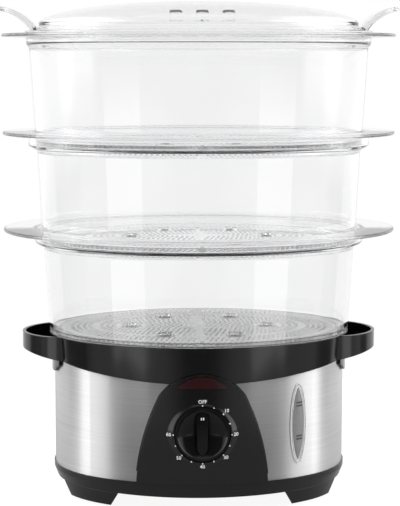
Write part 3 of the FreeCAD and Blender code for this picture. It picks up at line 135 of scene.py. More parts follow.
def bumped(tree, shader, source, strength, distance, edge=0):
    """A bump from a texture, over edges that look rounded by a radius."""
    bump = add_node(tree, "ShaderNodeBump", Strength=strength, Distance=distance)
    link(tree, source, 0, bump, "Height")
    if edge:
        rounded = add_node(tree, "ShaderNodeBevel", samples=4, Radius=edge * MM)
        link(tree, rounded, "Normal", bump, "Normal")
    link(tree, bump, "Normal", shader, "Normal")


# Noise scales are in cycles per metre, bump distances in metres.
FINE_GRAIN, GLOSS_GRAIN, CLEAR_GRAIN, METAL_GRAIN, BRUSH_GRAIN = 900, 60, 35, 400, 40
BRUSH_STRETCH = (0.35, 0.35, 70)
PLASTIC_BUMP, BRUSH_BUMP = 0.00008, 0.00003
CLEAR_ROUGHNESS, CLEAR_IOR = 0.02, 1.45
ABSORPTION_GREY, ABSORPTION_DENSITY = 0.3, 5.0


def plastic(name, low, high, roughness, strength=0.15, specular=0.5, edge=0):
    """Moulded plastic with a fine grain in colour, gloss and surface."""
    material, tree, shader = new_material(name)
    noise = grain(tree, FINE_GRAIN)
    link(tree, ramp_between(tree, noise, low, high), 0, shader, "Base Color")
    spread = ramp_between(tree, grain(tree, GLOSS_GRAIN, 2.0), grey(roughness * 0.88),
                          grey(roughness * 1.12))
    link(tree, spread, 0, shader, "Roughness")
    shader.inputs["Specular IOR Level"].default_value = specular
    bumped(tree, shader, noise, strength, PLASTIC_BUMP, edge)
    return material


def clear_plastic(name, tint):
    """Clear moulded plastic, which turns grey where light goes a long way through it."""
    material, tree, shader = new_material(name)
    noise = grain(tree, CLEAR_GRAIN, 2.0)
    low = tuple(c * 0.985 for c in tint) + (1,)
    link(tree, ramp_between(tree, noise, low, tint + (1,)), 0, shader, "Base Color")
    shader.inputs["Roughness"].default_value = CLEAR_ROUGHNESS
    shader.inputs["Transmission Weight"].default_value = 1.0
    shader.inputs["IOR"].default_value = CLEAR_IOR
    volume = add_node(tree, "ShaderNodeVolumeAbsorption", Color=grey(ABSORPTION_GREY),
                      Density=ABSORPTION_DENSITY)
    link(tree, volume, "Volume", tree.nodes["Material Output"], "Volume")
    return material


def brushed_steel(name):
    """Steel brushed around the base: fine level lines, sharp across and blurred along Z."""
    material, tree, shader = new_material(name)
    lines = grain(tree, BRUSH_GRAIN, 5.0, BRUSH_STRETCH)
    link(tree, ramp_between(tree, lines, grey(0.43), grey(0.53)), 0, shader, "Base Color")
    link(tree, ramp_between(tree, lines, grey(0.33), grey(0.37)), 0, shader, "Roughness")
    shader.inputs["Metallic"].default_value = 1.0
    shader.inputs["Anisotropic"].default_value = 1.0
    shader.inputs["Anisotropic Rotation"].default_value = 0.25
    tangent = add_node(tree, "ShaderNodeTangent", direction_type="RADIAL", axis="Z")
    link(tree, tangent, "Tangent", shader, "Tangent")
    bumped(tree, shader, lines, 0.06, BRUSH_BUMP)
    return material


def metal(name, colour, roughness):
    """Bare metal with a fine grain in colour and gloss."""
    material, tree, shader = new_material(name)
    noise = grain(tree, METAL_GRAIN)
    low = tuple(c * 0.85 for c in colour) + (1,)
    link(tree, ramp_between(tree, noise, low, colour + (1,)), 0, shader, "Base Color")
    link(tree, ramp_between(tree, noise, grey(roughness * 0.8), grey(roughness * 1.2)), 0,
         shader, "Roughness")
    shader.inputs["Metallic"].default_value = 1.0
    return material


FINISHES = {
    "clear_plastic": clear_plastic("clear_plastic", (0.965, 0.966, 0.969)),
    "black_plastic": plastic("black_satin_plastic", grey(0.004), grey(0.006), 0.16, edge=0.7,
                             strength=0.05, specular=0.35),
    "brushed_steel": brushed_steel("brushed_steel"),
    "zinc_screws": metal("zinc_steel", (0.6, 0.6, 0.58), 0.3),
    "grey_rubber": plastic("grey_rubber", grey(0.03), grey(0.05), 0.75),
    "red_lens": plastic("red_lens", (0.016, 0.003, 0.004, 1), (0.024, 0.004, 0.005, 1), 0.16),
    "white_plastic": plastic("white_plastic", grey(0.72), grey(0.78), 0.4),
    "bright_bell": metal("nickel", (0.72, 0.71, 0.69), 0.15),
    "amber_lamp": plastic("amber_lamp", (0.7, 0.2, 0.03, 1), (0.8, 0.28, 0.05, 1), 0.2),
    "gauge_plastic": clear_plastic("gauge_plastic", (0.96, 0.97, 0.98)),
    "cast_aluminium": metal("cast_aluminium", (0.7, 0.7, 0.7), 0.4),
    "red_silicone": plastic("red_silicone", (0.4, 0.05, 0.03, 1), (0.5, 0.08, 0.05, 1), 0.6),
    "dark_steel": metal("dark_steel", (0.3, 0.3, 0.29), 0.35),
    "grey_plastic": plastic("grey_plastic", grey(0.16), grey(0.2), 0.4),
    "tray_plastic": plastic("tray_plastic", grey(0.84), grey(0.89), 0.35),
}
for part in frame["record"]["subparts"]:
    mesh = NODES[part["node"]].data
    mesh.materials.clear()
    mesh.materials.append(FINISHES[part["material_slot"]])
# The knob is glossier and darker than the satin panel around it.
NODES["timer_knob"].data.materials[0] = plastic("knob_plastic", grey(0.003), grey(0.005), 0.12,
                                                edge=0.7, strength=0.05, specular=0.18)


# ---- mesh helpers (millimetres in, metres out) -------------------------------

# Every ring of the steamer is an oval of two end arcs and two side arcs, as in the CAD
# model. The centres, radii and depth are shares of the oval's half width.
PLAN_DEPTH = 0.797
END_TURN = 51.44
END_CENTRE, END_RADIUS = 0.312186, 0.687814
SIDE_CENTRE, SIDE_RADIUS = 0.391705, 1.188705
END_STEPS, SIDE_STEPS = 64, 80


def oval_point(half_width, grow, turn):
    """The point of the four-arc oval whose outward normal makes turn degrees with +X."""
    across, along = math.cos(math.radians(turn)), math.sin(math.radians(turn))
    if abs(along) < math.sin(math.radians(END_TURN)) - 1e-9:
        reach = END_RADIUS * half_width + grow
        return reach * across + math.copysign(END_CENTRE * half_width, across), reach * along
    reach = SIDE_RADIUS * half_width + grow
    return reach * across, reach * along - math.copysign(SIDE_CENTRE * half_width, along)


def oval_turns():
    """Turns around the oval, evenly spaced along its end and side arcs."""
    turns = []
    start = -END_TURN
    for sweep, steps in ((2 * END_TURN, END_STEPS), (180 - 2 * END_TURN, SIDE_STEPS)) * 2:
        turns += [start + sweep * i / steps for i in range(steps)]
        start += sweep
    return turns


TURNS = oval_turns()
ROUND_STEPS, HOLD = 4, 0.3
MOST_ROUNDED, MOST_HELD = 0.46, 0.49


def soften(corners):
    """Rounds a closed profile: each corner is half width, grow, level and cut length.

    A ring HOLD beyond each rounding keeps the flat faces next to it shaded flat. On a
    short run both stay within their share of it.
    """
    rings = []
    for i, corner in enumerate(corners):
        here = Vector(corner[:3])
        if not corner[3]:
            rings.append(here)
            continue
        ends, holds = [], []
        for other in (corners[i - 1], corners[(i + 1) % len(corners)]):
            run = Vector(other[:3]) - here
            length = math.hypot(run.x + run.y, run.z)
            ends.append(here + run * min(corner[3] / length, MOST_ROUNDED))
            holds.append(here + run * min((corner[3] + HOLD) / length, MOST_HELD))
        rings.append(holds[0])
        for step in range(ROUND_STEPS + 1):
            t = step / ROUND_STEPS
            rings.append(ends[0] * (1 - t) ** 2 + here * 2 * t * (1 - t) + ends[1] * t * t)
        rings.append(holds[1])
    return rings


def bridge(bm, loops, closed=False):
    """Bands of quads between loops of as many vertices each."""
    for low, high in zip(loops, loops[1:] + loops[:1] if closed else loops[1:]):
        for i in range(len(low)):
            bm.faces.new((low[i - 1], low[i], high[i], high[i - 1]))


def add_rings(bm, rings):
    """A band of quads through oval rings; returns the loops of vertices."""
    loops = []
    for half_width, grow, level in rings:
        points = [oval_point(half_width, grow, turn) for turn in TURNS]
        loops.append([bm.verts.new((x * MM, y * MM, level * MM)) for x, y in points])
    bridge(bm, loops)
    return loops


def add_cap(bm, loop, level):
    """A fan from a loop to a point on the axis."""
    middle = bm.verts.new((0, 0, level * MM))
    for i in range(len(loop)):
        bm.faces.new((loop[i - 1], loop[i], middle))


WELD = 2e-6


def mesh_from(name, bm):
    """The mesh of a bmesh, which goes."""
    data = bpy.data.meshes.new(name)
    bm.to_mesh(data)
    bm.free()
    return data


def make_piece(name, bm, body, slot, replaces=()):
    """Welds a mesh and makes it a piece of a body."""
    bmesh.ops.remove_doubles(bm, verts=bm.verts, dist=WELD)
    bmesh.ops.recalc_face_normals(bm, faces=bm.faces)
    dress(name, mesh_from(name, bm), body, slot, replaces)


def dress(name, data, body, slot, replaces=(), sharp=35):
    """A piece from its mesh: smooth up to an angle, with its finish, on its body."""
    data.polygons.foreach_set("use_smooth", [True] * len(data.polygons))
    data.set_sharp_from_angle(angle=math.radians(sharp))
    data.materials.clear()
    data.materials.append(FINISHES[slot])
    piece = scene_object(name, data)
    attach(piece, body)
    if replaces:
        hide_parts(*replaces)


# ---- baskets -----------------------------------------------------------------

SHELL_WALL, FLOOR_BORDER = 2.2, 5.6
FLOOR_LOW, FLOOR_HIGH = 0.9, 2.9
FLANGE_HALF, FLANGE_LIP, FLANGE_ROOT = 148.65, 2.4, 3.2
SPIGOT_HALF, SPIGOT_WALL, SPIGOT_DROP = 114.5, 2.2, 4.8
# Slot rows, as distances inward from the floor's oval.
SLOT_ROWS = (8.1, 17.0, 21.6, 26.2, 30.8, 39.8, 44.4, 49.0, 53.6, 58.2, 62.8, 67.4, 72.0,
             76.6, 81.2, 85.8)
SLOT_LENGTH, SLOT_WIDTH, SLOT_PITCH = 3.0, 1.6, 4.0
EGG_PLACE, EGG_STEPS, EGG_CLEAR = 52, 24, 10.2
# An egg seat's dished ring as radius and rise over the floor, from outside to inside.
EGG_PROFILE = ((7.6, 0), (7.3, 0.8), (6.4, 0.9), (5.6, 0.2), (4.6, -0.8), (2.6, -0.9))
RIB_HALF, RIB_HEIGHT, RIB_END = 1.5, 0.9, 9


def row_places(half_width, inward):
    """Centres and turns of a slot row that lies inward of the oval."""
    end = END_RADIUS * half_width - inward
    side = SIDE_RADIUS * half_width - inward
    first = END_TURN if end > 0 else math.degrees(
        math.asin(min(SIDE_CENTRE * half_width / side, 1.0)))
    arcs = []
    for middle in (0, 90, 180, 270):
        on_end = middle % 180 == 0
        if on_end and end <= 0:
            continue
        half = END_TURN if on_end else 90 - first
        arcs.append((middle - half, 2 * half, max(end if on_end else side, 0)))
    total = sum(math.radians(sweep) * reach for start, sweep, reach in arcs)
    count = max(int(round(total / SLOT_PITCH)), 1)
    places = []
    for i in range(count):
        along = (i + 0.5) * total / count
        for start, sweep, reach in arcs:
            length = math.radians(sweep) * reach
            if along <= length:
                turn = start + sweep * along / length
                places.append((oval_point(half_width, -inward, turn), turn))
                break
            along -= length
    return places


def egg_centres():
    """The middles of the six egg seats."""
    return [(EGG_PLACE * math.cos(math.radians(60 * i)),
             EGG_PLACE * math.sin(math.radians(60 * i))) for i in range(6)]


def circle(centre, radius, steps=EGG_STEPS):
    """Points around a circle."""
    return [(centre[0] + radius * math.cos(2 * math.pi * i / steps),
             centre[1] + radius * math.sin(2 * math.pi * i / steps)) for i in range(steps)]


def floor_regions(half_width):
    """Outlines of the slots, the egg seats and the rib, as seen from above."""
    slots = []
    for inward in SLOT_ROWS:
        for (x, y), turn in row_places(half_width, inward):
            if abs(x) < RIB_HALF + SLOT_LENGTH * 0.6:
                continue
            if min(math.dist((x, y), egg) for egg in egg_centres()) < EGG_CLEAR:
                continue
            out = Vector((math.cos(math.radians(turn)), math.sin(math.radians(turn))))
            side = Vector((-out.y, out.x))
            corners = []
            for a, b in ((-1, -1), (1, -1), (1, 1), (-1, 1)):
                point = out * (a * SLOT_LENGTH / 2) + side * (b * SLOT_WIDTH / 2)
                corners.append((x + point.x, y + point.y))
            slots.append(corners)
    seats = [circle(centre, EGG_PROFILE[0][0]) for centre in egg_centres()]
    reach = half_width * PLAN_DEPTH - RIB_END
    rib = [(-RIB_HALF, -reach), (RIB_HALF, -reach), (RIB_HALF, reach), (-RIB_HALF, reach)]
    return slots, seats, rib


def add_floor(bm, half_width, grow, low, high):
    """The perforated floor inside an oval ring, from level low to level high.

    The floor is cut up into plate, slots, seats and rib as seen from above. Plate and rib
    get a top and an underside, and a wall stands wherever two kinds meet, but the seats are
    dished rings of their own.
    """
    slots, seats, rib = floor_regions(half_width)
    points = [oval_point(half_width, grow, turn) for turn in TURNS]
    edge_count = len(points)
    edges = [(i, (i + 1) % edge_count) for i in range(edge_count)]
    outlines, kinds = [], []
    for kind, group in (("slot", slots), ("seat", seats), ("rib", [rib])):
        for outline in group:
            outlines.append(list(range(len(points), len(points) + len(outline))))
            points += outline
            kinds.append(kind)
    coords, _, faces, _, _, sources = delaunay_2d_cdt(
        [Vector(p) for p in points], edges, outlines, 0, 1e-5, True)
    spans = {"plate": (low, high), "rib": (low, high + RIB_HEIGHT)}
    made, walls = {}, {}

    def corner(index, level):
        if (index, level) not in made:
            x, y = coords[index]
            made[index, level] = bm.verts.new((x * MM, y * MM, level * MM))
        return made[index, level]

    for face, source in zip(faces, sources):
        kind = kinds[source[0]] if source else "plate"
        for a, b in zip(face, list(face[1:]) + [face[0]]):
            walls.setdefault((min(a, b), max(a, b)), []).append(kind)
        if kind in spans:
            bottom, top = spans[kind]
            bm.faces.new([corner(i, top) for i in face])
            bm.faces.new([corner(i, bottom) for i in reversed(face)])
    for (a, b), sides in walls.items():
        if len(sides) < 2 or "seat" in sides or sides[0] == sides[1]:
            continue
        if "slot" in sides:
            bottom, top = spans[sides[0] if sides[1] == "slot" else sides[1]]
        else:
            bottom, top = high, high + RIB_HEIGHT
        bm.faces.new((corner(a, bottom), corner(b, bottom), corner(b, top), corner(a, top)))
    for centre in egg_centres():
        loops = []
        for radius, rise in EGG_PROFILE:
            loops.append([(x, y, high + rise) for x, y in circle(centre, radius)])
        for radius in (EGG_PROFILE[-1][0], EGG_PROFILE[0][0]):
            loops.append([(x, y, low) for x, y in circle(centre, radius)])
        bridge(bm, [[bm.verts.new(Vector(p) * MM) for p in loop] for loop in loops])


def make_basket(name, seat, top, foot, wall, collar, collar_depth=11, spigot=False):
    """A clear basket: stepped collar, wide flange with a rounded lip, perforated floor."""
    ledge = top - collar_depth
    low, high = seat + FLOOR_LOW, seat + FLOOR_HIGH
    if spigot:
        edge = (SPIGOT_HALF, -FLOOR_BORDER)
        outer = SPIGOT_WALL - FLOOR_BORDER
        corners = [
            edge + (low, 0),
            edge + (seat - SPIGOT_DROP, 0.4),
            (SPIGOT_HALF, outer, seat - SPIGOT_DROP, 0.4),
            (SPIGOT_HALF, outer, seat, 0.3),
        ]
    else:
        edge = (foot, -FLOOR_BORDER)
        corners = [
            edge + (low, 0),
            (foot, -SHELL_WALL, low, 0.5),
            (foot, -SHELL_WALL, seat, 0.4),
        ]
    corners += [
        (foot, 0, seat, 0.8),
        (wall, 0, ledge - 3.4, 2.0),
        (collar, 0, ledge, 1.4),
        (collar, 0, top - FLANGE_ROOT, 1.2),
        (FLANGE_HALF, 0, top - FLANGE_LIP, 1.1),
        (FLANGE_HALF, 0, top, 1.1),
        (collar, -SHELL_WALL, top, 0.9),
        (collar, -SHELL_WALL, ledge + 0.9, 0.9),
        (wall, -SHELL_WALL, ledge + 0.8, 1.5),
        (foot, -SHELL_WALL, high, 1.2),
        edge + (high, 0),
    ]
    bm = bmesh.new()
    add_rings(bm, soften(corners))
    add_floor(bm, edge[0], edge[1], low, high)
    make_piece(name + "_clear", bm, name, "clear_plastic", (name,))


# Seat, top, then the half widths of the foot, the wall under the ledge and the collar.
make_basket("basket_bottom", 122.1, 201.6, 114.3, 118.4, 125.1, spigot=True)
make_basket("basket_middle", 191.6, 274.55, 119.4, 122.8, 129.2)
make_basket("basket_top", 264.55, 347.5, 123.7, 128.1, 130.2, collar_depth=7.6)


# ---- lid ---------------------------------------------------------------------

LID_SEAT, DOME_FOOT, LID_TOP = 347.6, 355.1, 372.04
DOME_HALF, DOME_POWER, LID_WALL, DOME_STEPS = 120.6, 1.9, 2.2, 34
BRIM_HALF, BAND_HALF, LIP_HALF, LIP_DROP = 131, 121.5, 130.2, 5
VENT_LEVEL, VENT_PITCH, VENT_HALF_WIDE, VENT_HALF_HIGH = 360.4, 18.6, 4.4, 1.1
VENT_BACK, VENT_FRONT, VENT_STEPS = -76, -104, 28
# A handle bends along an arc of HANDLE_RADIUS around a level axis outside the lid.
HANDLE_AXIS, HANDLE_AXIS_LEVEL, HANDLE_RADIUS = 154, 328.5, 37.8
HANDLE_ROOT, HANDLE_REACH, HANDLE_LIMIT = 117.9, 34.4, 152.29
HANDLE_HALF, HANDLE_ROUND = 27, 1.4
HANDLE_THIN, HANDLE_SWELL = 1.4, 0.7
HANDLE_FROM, HANDLE_TO, HANDLE_STEPS, HANDLE_ROUND_STEPS = 6.2, 86.6, 26, 6


def dome_rings(inset):
    """Rings of the flattened dome from its foot to near its pole."""
    rings = []
    for step in range(DOME_STEPS):
        angle = math.radians(90 * step / DOME_STEPS)
        share = math.cos(angle) ** (2 / DOME_POWER)
        rise = math.sin(angle) ** (2 / DOME_POWER)
        level = DOME_FOOT + (LID_TOP - DOME_FOOT) * rise - inset
        rings.append(Vector((DOME_HALF * share, -inset * share, level)))
    return rings


def add_handle(bm, side):
    """A rounded tongue that bends up and outward from the lid's brim."""
    sections = []
    for step in range(HANDLE_STEPS + 1):
        along = step / HANDLE_STEPS
        angle = math.radians(HANDLE_FROM + (HANDLE_TO - HANDLE_FROM) * step / HANDLE_STEPS)
        x = HANDLE_ROOT + HANDLE_REACH * math.sin(angle)
        half = max(HANDLE_HALF * math.cos(angle) - HANDLE_ROUND, 0.05)
        thick = HANDLE_THIN + HANDLE_SWELL * (1 - along)
        bend = math.acos((HANDLE_AXIS - x) / HANDLE_RADIUS)
        section = []
        for end in (1, -1):
            for i in range(HANDLE_ROUND_STEPS + 1):
                around = math.pi * i / HANDLE_ROUND_STEPS
                reach = HANDLE_RADIUS + thick * math.cos(around) * end
                outward = min(HANDLE_AXIS - reach * math.cos(bend), HANDLE_LIMIT)
                section.append((side * outward, end * (half + HANDLE_ROUND * math.sin(around)),
                                HANDLE_AXIS_LEVEL + reach * math.sin(bend)))
        sections.append([bm.verts.new(Vector(p) * MM) for p in section])
    bridge(bm, sections)
    bm.faces.new(sections[0])
    bm.faces.new(list(reversed(sections[-1])))


def plain_object(name, bm):
    """A helper object for a boolean; it is deleted once used."""
    bmesh.ops.recalc_face_normals(bm, faces=bm.faces)
    return scene_object(name, mesh_from(name, bm))


def combined(base, helper, operation):
    """The mesh of base after a boolean with helper; both objects go."""
    modifier = base.modifiers.new("shape", "BOOLEAN")
    modifier.operation = operation
    modifier.solver = "EXACT"
    modifier.object = helper
    graph = bpy.context.evaluated_depsgraph_get()
    data = bpy.data.meshes.new_from_object(base.evaluated_get(graph))
    for used in (base, helper):
        bpy.data.objects.remove(used)
    return data


def add_lid_shell(bm):
    """The dome, its foot, the brim and the locating lip under the brim."""
    brim = soften([
        (DOME_HALF, -LID_WALL, DOME_FOOT - LID_WALL, 0),
        (DOME_HALF, -LID_WALL, LID_SEAT, 0.8),
        (LIP_HALF, -4.9, LID_SEAT, 0.4),
        (LIP_HALF, -4.9, LID_SEAT - LIP_DROP, 0.5),
        (LIP_HALF, -2.7, LID_SEAT - LIP_DROP, 0.5),
        (LIP_HALF, -2.7, LID_SEAT, 0.3),
        (BRIM_HALF, 0, LID_SEAT, 0.6),
        (BRIM_HALF, 0, LID_SEAT + LID_WALL, 0.9),
        (BAND_HALF, 0, LID_SEAT + LID_WALL, 0.9),
        (BAND_HALF, 0, LID_SEAT + 4.8, 0.7),
        (DOME_HALF, 0, LID_SEAT + 5.4, 0.4),
        (DOME_HALF, 0, DOME_FOOT, 0),
    ])
    inner = list(reversed(dome_rings(LID_WALL)))
    loops = add_rings(bm, inner + brim[1:-1] + dome_rings(0))
    add_cap(bm, loops[0], LID_TOP - LID_WALL)
    add_cap(bm, loops[-1], LID_TOP)


def add_vents(bm):
    """Three level oval bars, to be cut out of the dome's front."""
    outline = circle((0, 0), 1, VENT_STEPS)
    for i in (-1, 0, 1):
        ends = []
        for y in (VENT_FRONT, VENT_BACK):
            ends.append([bm.verts.new(((VENT_PITCH * i + VENT_HALF_WIDE * across) * MM, y * MM,
                                       (VENT_LEVEL + VENT_HALF_HIGH * up) * MM))
                         for across, up in outline])
        bridge(bm, ends)
        for end in ends:
            bm.faces.new(end)


def make_lid():
    """The clear lid: shell less vents, plus both handles."""
    shell, vents, handles = bmesh.new(), bmesh.new(), bmesh.new()
    add_lid_shell(shell)
    add_vents(vents)
    vented = combined(plain_object("lid_shell", shell), plain_object("vents", vents),
                      "DIFFERENCE")
    for side in (1, -1):
        add_handle(handles, side)
    data = combined(scene_object("lid_vented", vented), plain_object("handles", handles),
                    "UNION")
    data.name = "lid_clear"
    dress("lid_clear", data, "lid", "clear_plastic", ("lid",), 30)


make_lid()


# ---- dial print and knob mark ------------------------------------------------

STEEL_HALF, PANEL_PROUD = 110.9, 3.1
STEEL_SIDE = SIDE_RADIUS * STEEL_HALF
PANEL_SIDE, PANEL_CENTRE = STEEL_SIDE + PANEL_PROUD, SIDE_CENTRE * STEEL_HALF
DIAL_LEVEL, DIAL_FRONT = 59.2, -92.087
LAND_RADIUS, COLLAR_RUN, COLLAR_FALL = 21.6, 3.8, 3.0
PRINT_PROUD, PRINT_SUNK = 0.08, 0.1
CAP_SHARE, WORD_CURVE_STEPS, WORD_THICKEN = 0.7, 3, 0.05
NUMERAL_HEIGHT, OFF_RADIUS, OFF_TO_60 = 2.5, 24.2, 270
NUMERAL_RADII = (24.6, 24.3, 24.0, 23.6, 24.3, 24.6)
DOT_COUNT, DOT_RADIUS, DOT_SIZE, DOT_STEPS = 13, 21.35, 0.52, 12
GRIP_FACE, MARK_APART, MARK_HALF, MARK_LOW, MARK_HIGH = 1.6, 0.75, 0.42, 10.4, 12.2
MARK_PROUD, MARK_SUNK = 0.06, 0.1
# Levels between which the painted shadow strip along the panel's edge runs, and its section as
# reach out from the outline and lift off the steel.
SHADOW_LINE_LOW, SHADOW_LINE_HIGH = 27, 96
SHADOW_LINE_SECTION = ((-0.3, -0.2), (-0.3, 0.5), (0.75, 0.5), (0.75, -0.2))


def fascia(x, z):
    """How far forward the panel or its dial collar stands at a place seen from the front."""
    panel = PANEL_CENTRE - math.sqrt(PANEL_SIDE ** 2 - x * x)
    radius = math.hypot(x, z - DIAL_LEVEL)
    slope = max(radius - LAND_RADIUS, 0) * COLLAR_FALL / COLLAR_RUN
    return min(panel, DIAL_FRONT + slope)


def laid_print(name, flat, body, slot):
    """A flat front-facing mesh in XZ millimetres, laid on the fascia as thin paint."""
    bm = bmesh.new()
    bm.from_mesh(flat)
    bpy.data.meshes.remove(flat)
    for vertex in bm.verts:
        x, z = vertex.co.x, vertex.co.z
        vertex.co.y = fascia(x, z) - PRINT_PROUD
    thick = bmesh.ops.extrude_face_region(bm, geom=list(bm.faces))
    for item in thick["geom"]:
        if isinstance(item, bmesh.types.BMVert):
            item.co.y += PRINT_PROUD + PRINT_SUNK
    for vertex in bm.verts:
        vertex.co *= MM
    make_piece(name, bm, body, slot)


def words_mesh(rows):
    """One mesh with every word of rows: text, height, and the place of its middle."""
    bm = bmesh.new()
    for text, height, x, z in rows:
        curve = bpy.data.curves.new("word", "FONT")
        curve.body = text
        curve.align_x = "CENTER"
        curve.size = height / CAP_SHARE
        curve.resolution_u = WORD_CURVE_STEPS
        curve.offset = WORD_THICKEN
        holder = scene_object("word", curve)
        bpy.context.view_layer.update()
        graph = bpy.context.evaluated_depsgraph_get()
        flat = bpy.data.meshes.new_from_object(holder.evaluated_get(graph))
        bpy.data.objects.remove(holder)
        start = len(bm.verts)
        bm.from_mesh(flat)
        bpy.data.meshes.remove(flat)
        bm.verts.ensure_lookup_table()
        for vertex in bm.verts[start:]:
            vertex.co = Vector((x + vertex.co.x, 0, z + vertex.co.y - height / 2))
    return mesh_from("words", bm)


def dial_place(radius, clockwise):
    """A place on the dial, in degrees clockwise from OFF."""
    angle = math.radians(clockwise)
    return radius * math.sin(angle), DIAL_LEVEL + radius * math.cos(angle)


def make_dial_print():
    """OFF, the minutes in tens, and a dot every five minutes."""
    rows = [("OFF", NUMERAL_HEIGHT) + dial_place(OFF_RADIUS, 0)]
    for step, radius in enumerate(NUMERAL_RADII, 1):
        rows.append((str(10 * step), NUMERAL_HEIGHT)
                    + dial_place(radius, OFF_TO_60 / len(NUMERAL_RADII) * step))
    laid_print("dial_numerals", words_mesh(rows), "base", "white_plastic")
    bm = bmesh.new()
    for step in range(DOT_COUNT):
        place = dial_place(DOT_RADIUS, OFF_TO_60 / (DOT_COUNT - 1) * step)
        bm.faces.new([bm.verts.new((x, 0, z)) for x, z in circle(place, DOT_SIZE, DOT_STEPS)])
    laid_print("dial_dots", mesh_from("dots", bm), "base", "white_plastic")


def add_bar(bm, low, high):
    """A bar between two corners."""
    corners = [(x, y, z) for x in (low[0], high[0]) for y in (low[1], high[1])
               for z in (low[2], high[2])]
    verts = [bm.verts.new(Vector(c) * MM) for c in corners]
    for face in ((0, 1, 3, 2), (4, 6, 7, 5), (0, 4, 5, 1), (2, 3, 7, 6), (0, 2, 6, 4),
                 (1, 5, 7, 3)):
        bm.faces.new([verts[i] for i in face])


def make_knob_mark():
    """Two short light strokes near the upper end of the knob's grip."""
    grip_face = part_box("timer_knob")[0][1] / MM + GRIP_FACE
    bm = bmesh.new()
    for middle in (-MARK_APART, MARK_APART):
        add_bar(bm, (middle - MARK_HALF, grip_face - MARK_PROUD, DIAL_LEVEL + MARK_LOW),
                (middle + MARK_HALF, grip_face + MARK_SUNK, DIAL_LEVEL + MARK_HIGH))
    make_piece("knob_mark", bm, "timer_knob", "white_plastic")


def make_panel_shadow_line():
    """A thin black strip on the steel along the panel's outline: painted shadow of the gap
    where the panel meets the steel.
    """
    panel = NODES["control_panel"]
    places = [panel.matrix_world @ vertex.co / MM for vertex in panel.data.vertices]
    flat = [Vector((place.x, place.z)) for place in places]
    outline = [flat[i] for i in convex_hull_2d(flat)]
    lowest = min(range(len(outline)), key=lambda i: outline[i].y - outline[i].x * 0.01)
    outline = outline[lowest:] + outline[:lowest]
    middle = Vector((0, DIAL_LEVEL))
    bm = bmesh.new()
    before = None
    for i, point in enumerate(outline):
        run = (outline[(i + 1) % len(outline)] - outline[i - 1]).normalized()
        out = Vector((run.y, -run.x))
        if out.dot(point - middle) < 0:
            out = -out
        section = None
        if SHADOW_LINE_LOW < point.y < SHADOW_LINE_HIGH:
            section = []
            for reach, lift in SHADOW_LINE_SECTION:
                x, z = point + out * reach
                y = PANEL_CENTRE - math.sqrt(STEEL_SIDE ** 2 - x * x) - lift
                section.append(bm.verts.new(Vector((x, y, z)) * MM))
            if before:
                bridge(bm, (before, section))
            else:
                bm.faces.new(section)
        elif before:
            bm.faces.new(list(reversed(before)))
        before = section
    # The strip is black plastic standing in for shade: a painted shadow at the panel's edge.
    make_piece("panel_shadow_line", bm, "base", "black_plastic")


make_dial_print()
make_knob_mark()
make_panel_shadow_line()


# ---- water gauge -------------------------------------------------------------

GAUGE_ACROSS, GAUGE_LEVEL = 71.0, 62.0
GAUGE_HALF, GAUGE_WIDE, LEAF_HALF, LEAF_WIDE = 30.0, 7.0, 27.0, 5.1
# Sections as pairs of how far a ring lies in from the outline, and out from the steel.
FRAME_SECTION = ((0, 0.02), (0.05, 0.7), (0.3, 0.95), (0.75, 1.0), (1.2, 0.95), (1.5, 0.6),
                 (1.55, 0.02))
LINE_SECTION = ((0.5, 0.9), (0.54, 1.05), (0.96, 1.05), (1.0, 0.9))
FIELD_SECTION = ((1.5, 0.1), (1.5, 0.3))
TUBE_SECTION = ((0, 0.2), (0, 0.45), (0.25, 0.6))
MARK_LEVELS = (77.6, 75.2, 52.6, 50.4)
MARK_CORNERS = ((-1.8, -0.7), (3.4, -0.5), (3.4, 0.7), (-1.8, 0.5))
MARK_FRONT, MARK_BACK = 0.7, 0.5
GAUGE_TURN = math.asin(GAUGE_ACROSS / STEEL_SIDE)
GAUGE_FACE = PANEL_CENTRE - STEEL_SIDE * math.cos(GAUGE_TURN)


def gauge_place(sideways, outward, level):
    """A point given along the gauge's face, out of it, and up."""
    x = GAUGE_ACROSS + sideways * math.cos(GAUGE_TURN) + outward * math.sin(GAUGE_TURN)
    y = GAUGE_FACE + sideways * math.sin(GAUGE_TURN) - outward * math.cos(GAUGE_TURN)
    return Vector((x, y, level)) * MM


def oval_window(shrink, steps=56):
    """The upright ellipse of the gauge, shrunk evenly, as sideways and level pairs."""
    wide, half = GAUGE_WIDE - shrink, GAUGE_HALF - shrink
    turns = [2 * math.pi * step / steps for step in range(steps)]
    return [(wide * math.cos(t), GAUGE_LEVEL + half * math.sin(t)) for t in turns]


def leaf_outline(shrink, steps=18):
    """A leaf of two arcs with pointed ends, as sideways and level pairs."""
    wide, half = LEAF_WIDE - shrink, LEAF_HALF - 3 * shrink
    points = []
    for side in (1, -1):
        for step in range(steps):
            rise = math.sin(math.pi * (step / steps - 0.5))
            across = wide * (1 - rise * rise) ** 0.75
            points.append((side * across, GAUGE_LEVEL + side * half * rise))
    return points


def gauge_band(name, outline, profile, slot, closed, replaces=()):
    """A ring of the gauge, closed on itself, or a plate, from an outline and a section."""
    bm = bmesh.new()
    loops = []
    for shrink, outward in profile:
        loops.append([bm.verts.new(gauge_place(s, outward, z)) for s, z in outline(shrink)])
    bridge(bm, loops, closed)
    if not closed:
        bm.faces.new(loops[0])
        bm.faces.new(list(reversed(loops[-1])))
    make_piece(name, bm, "base", slot, replaces)


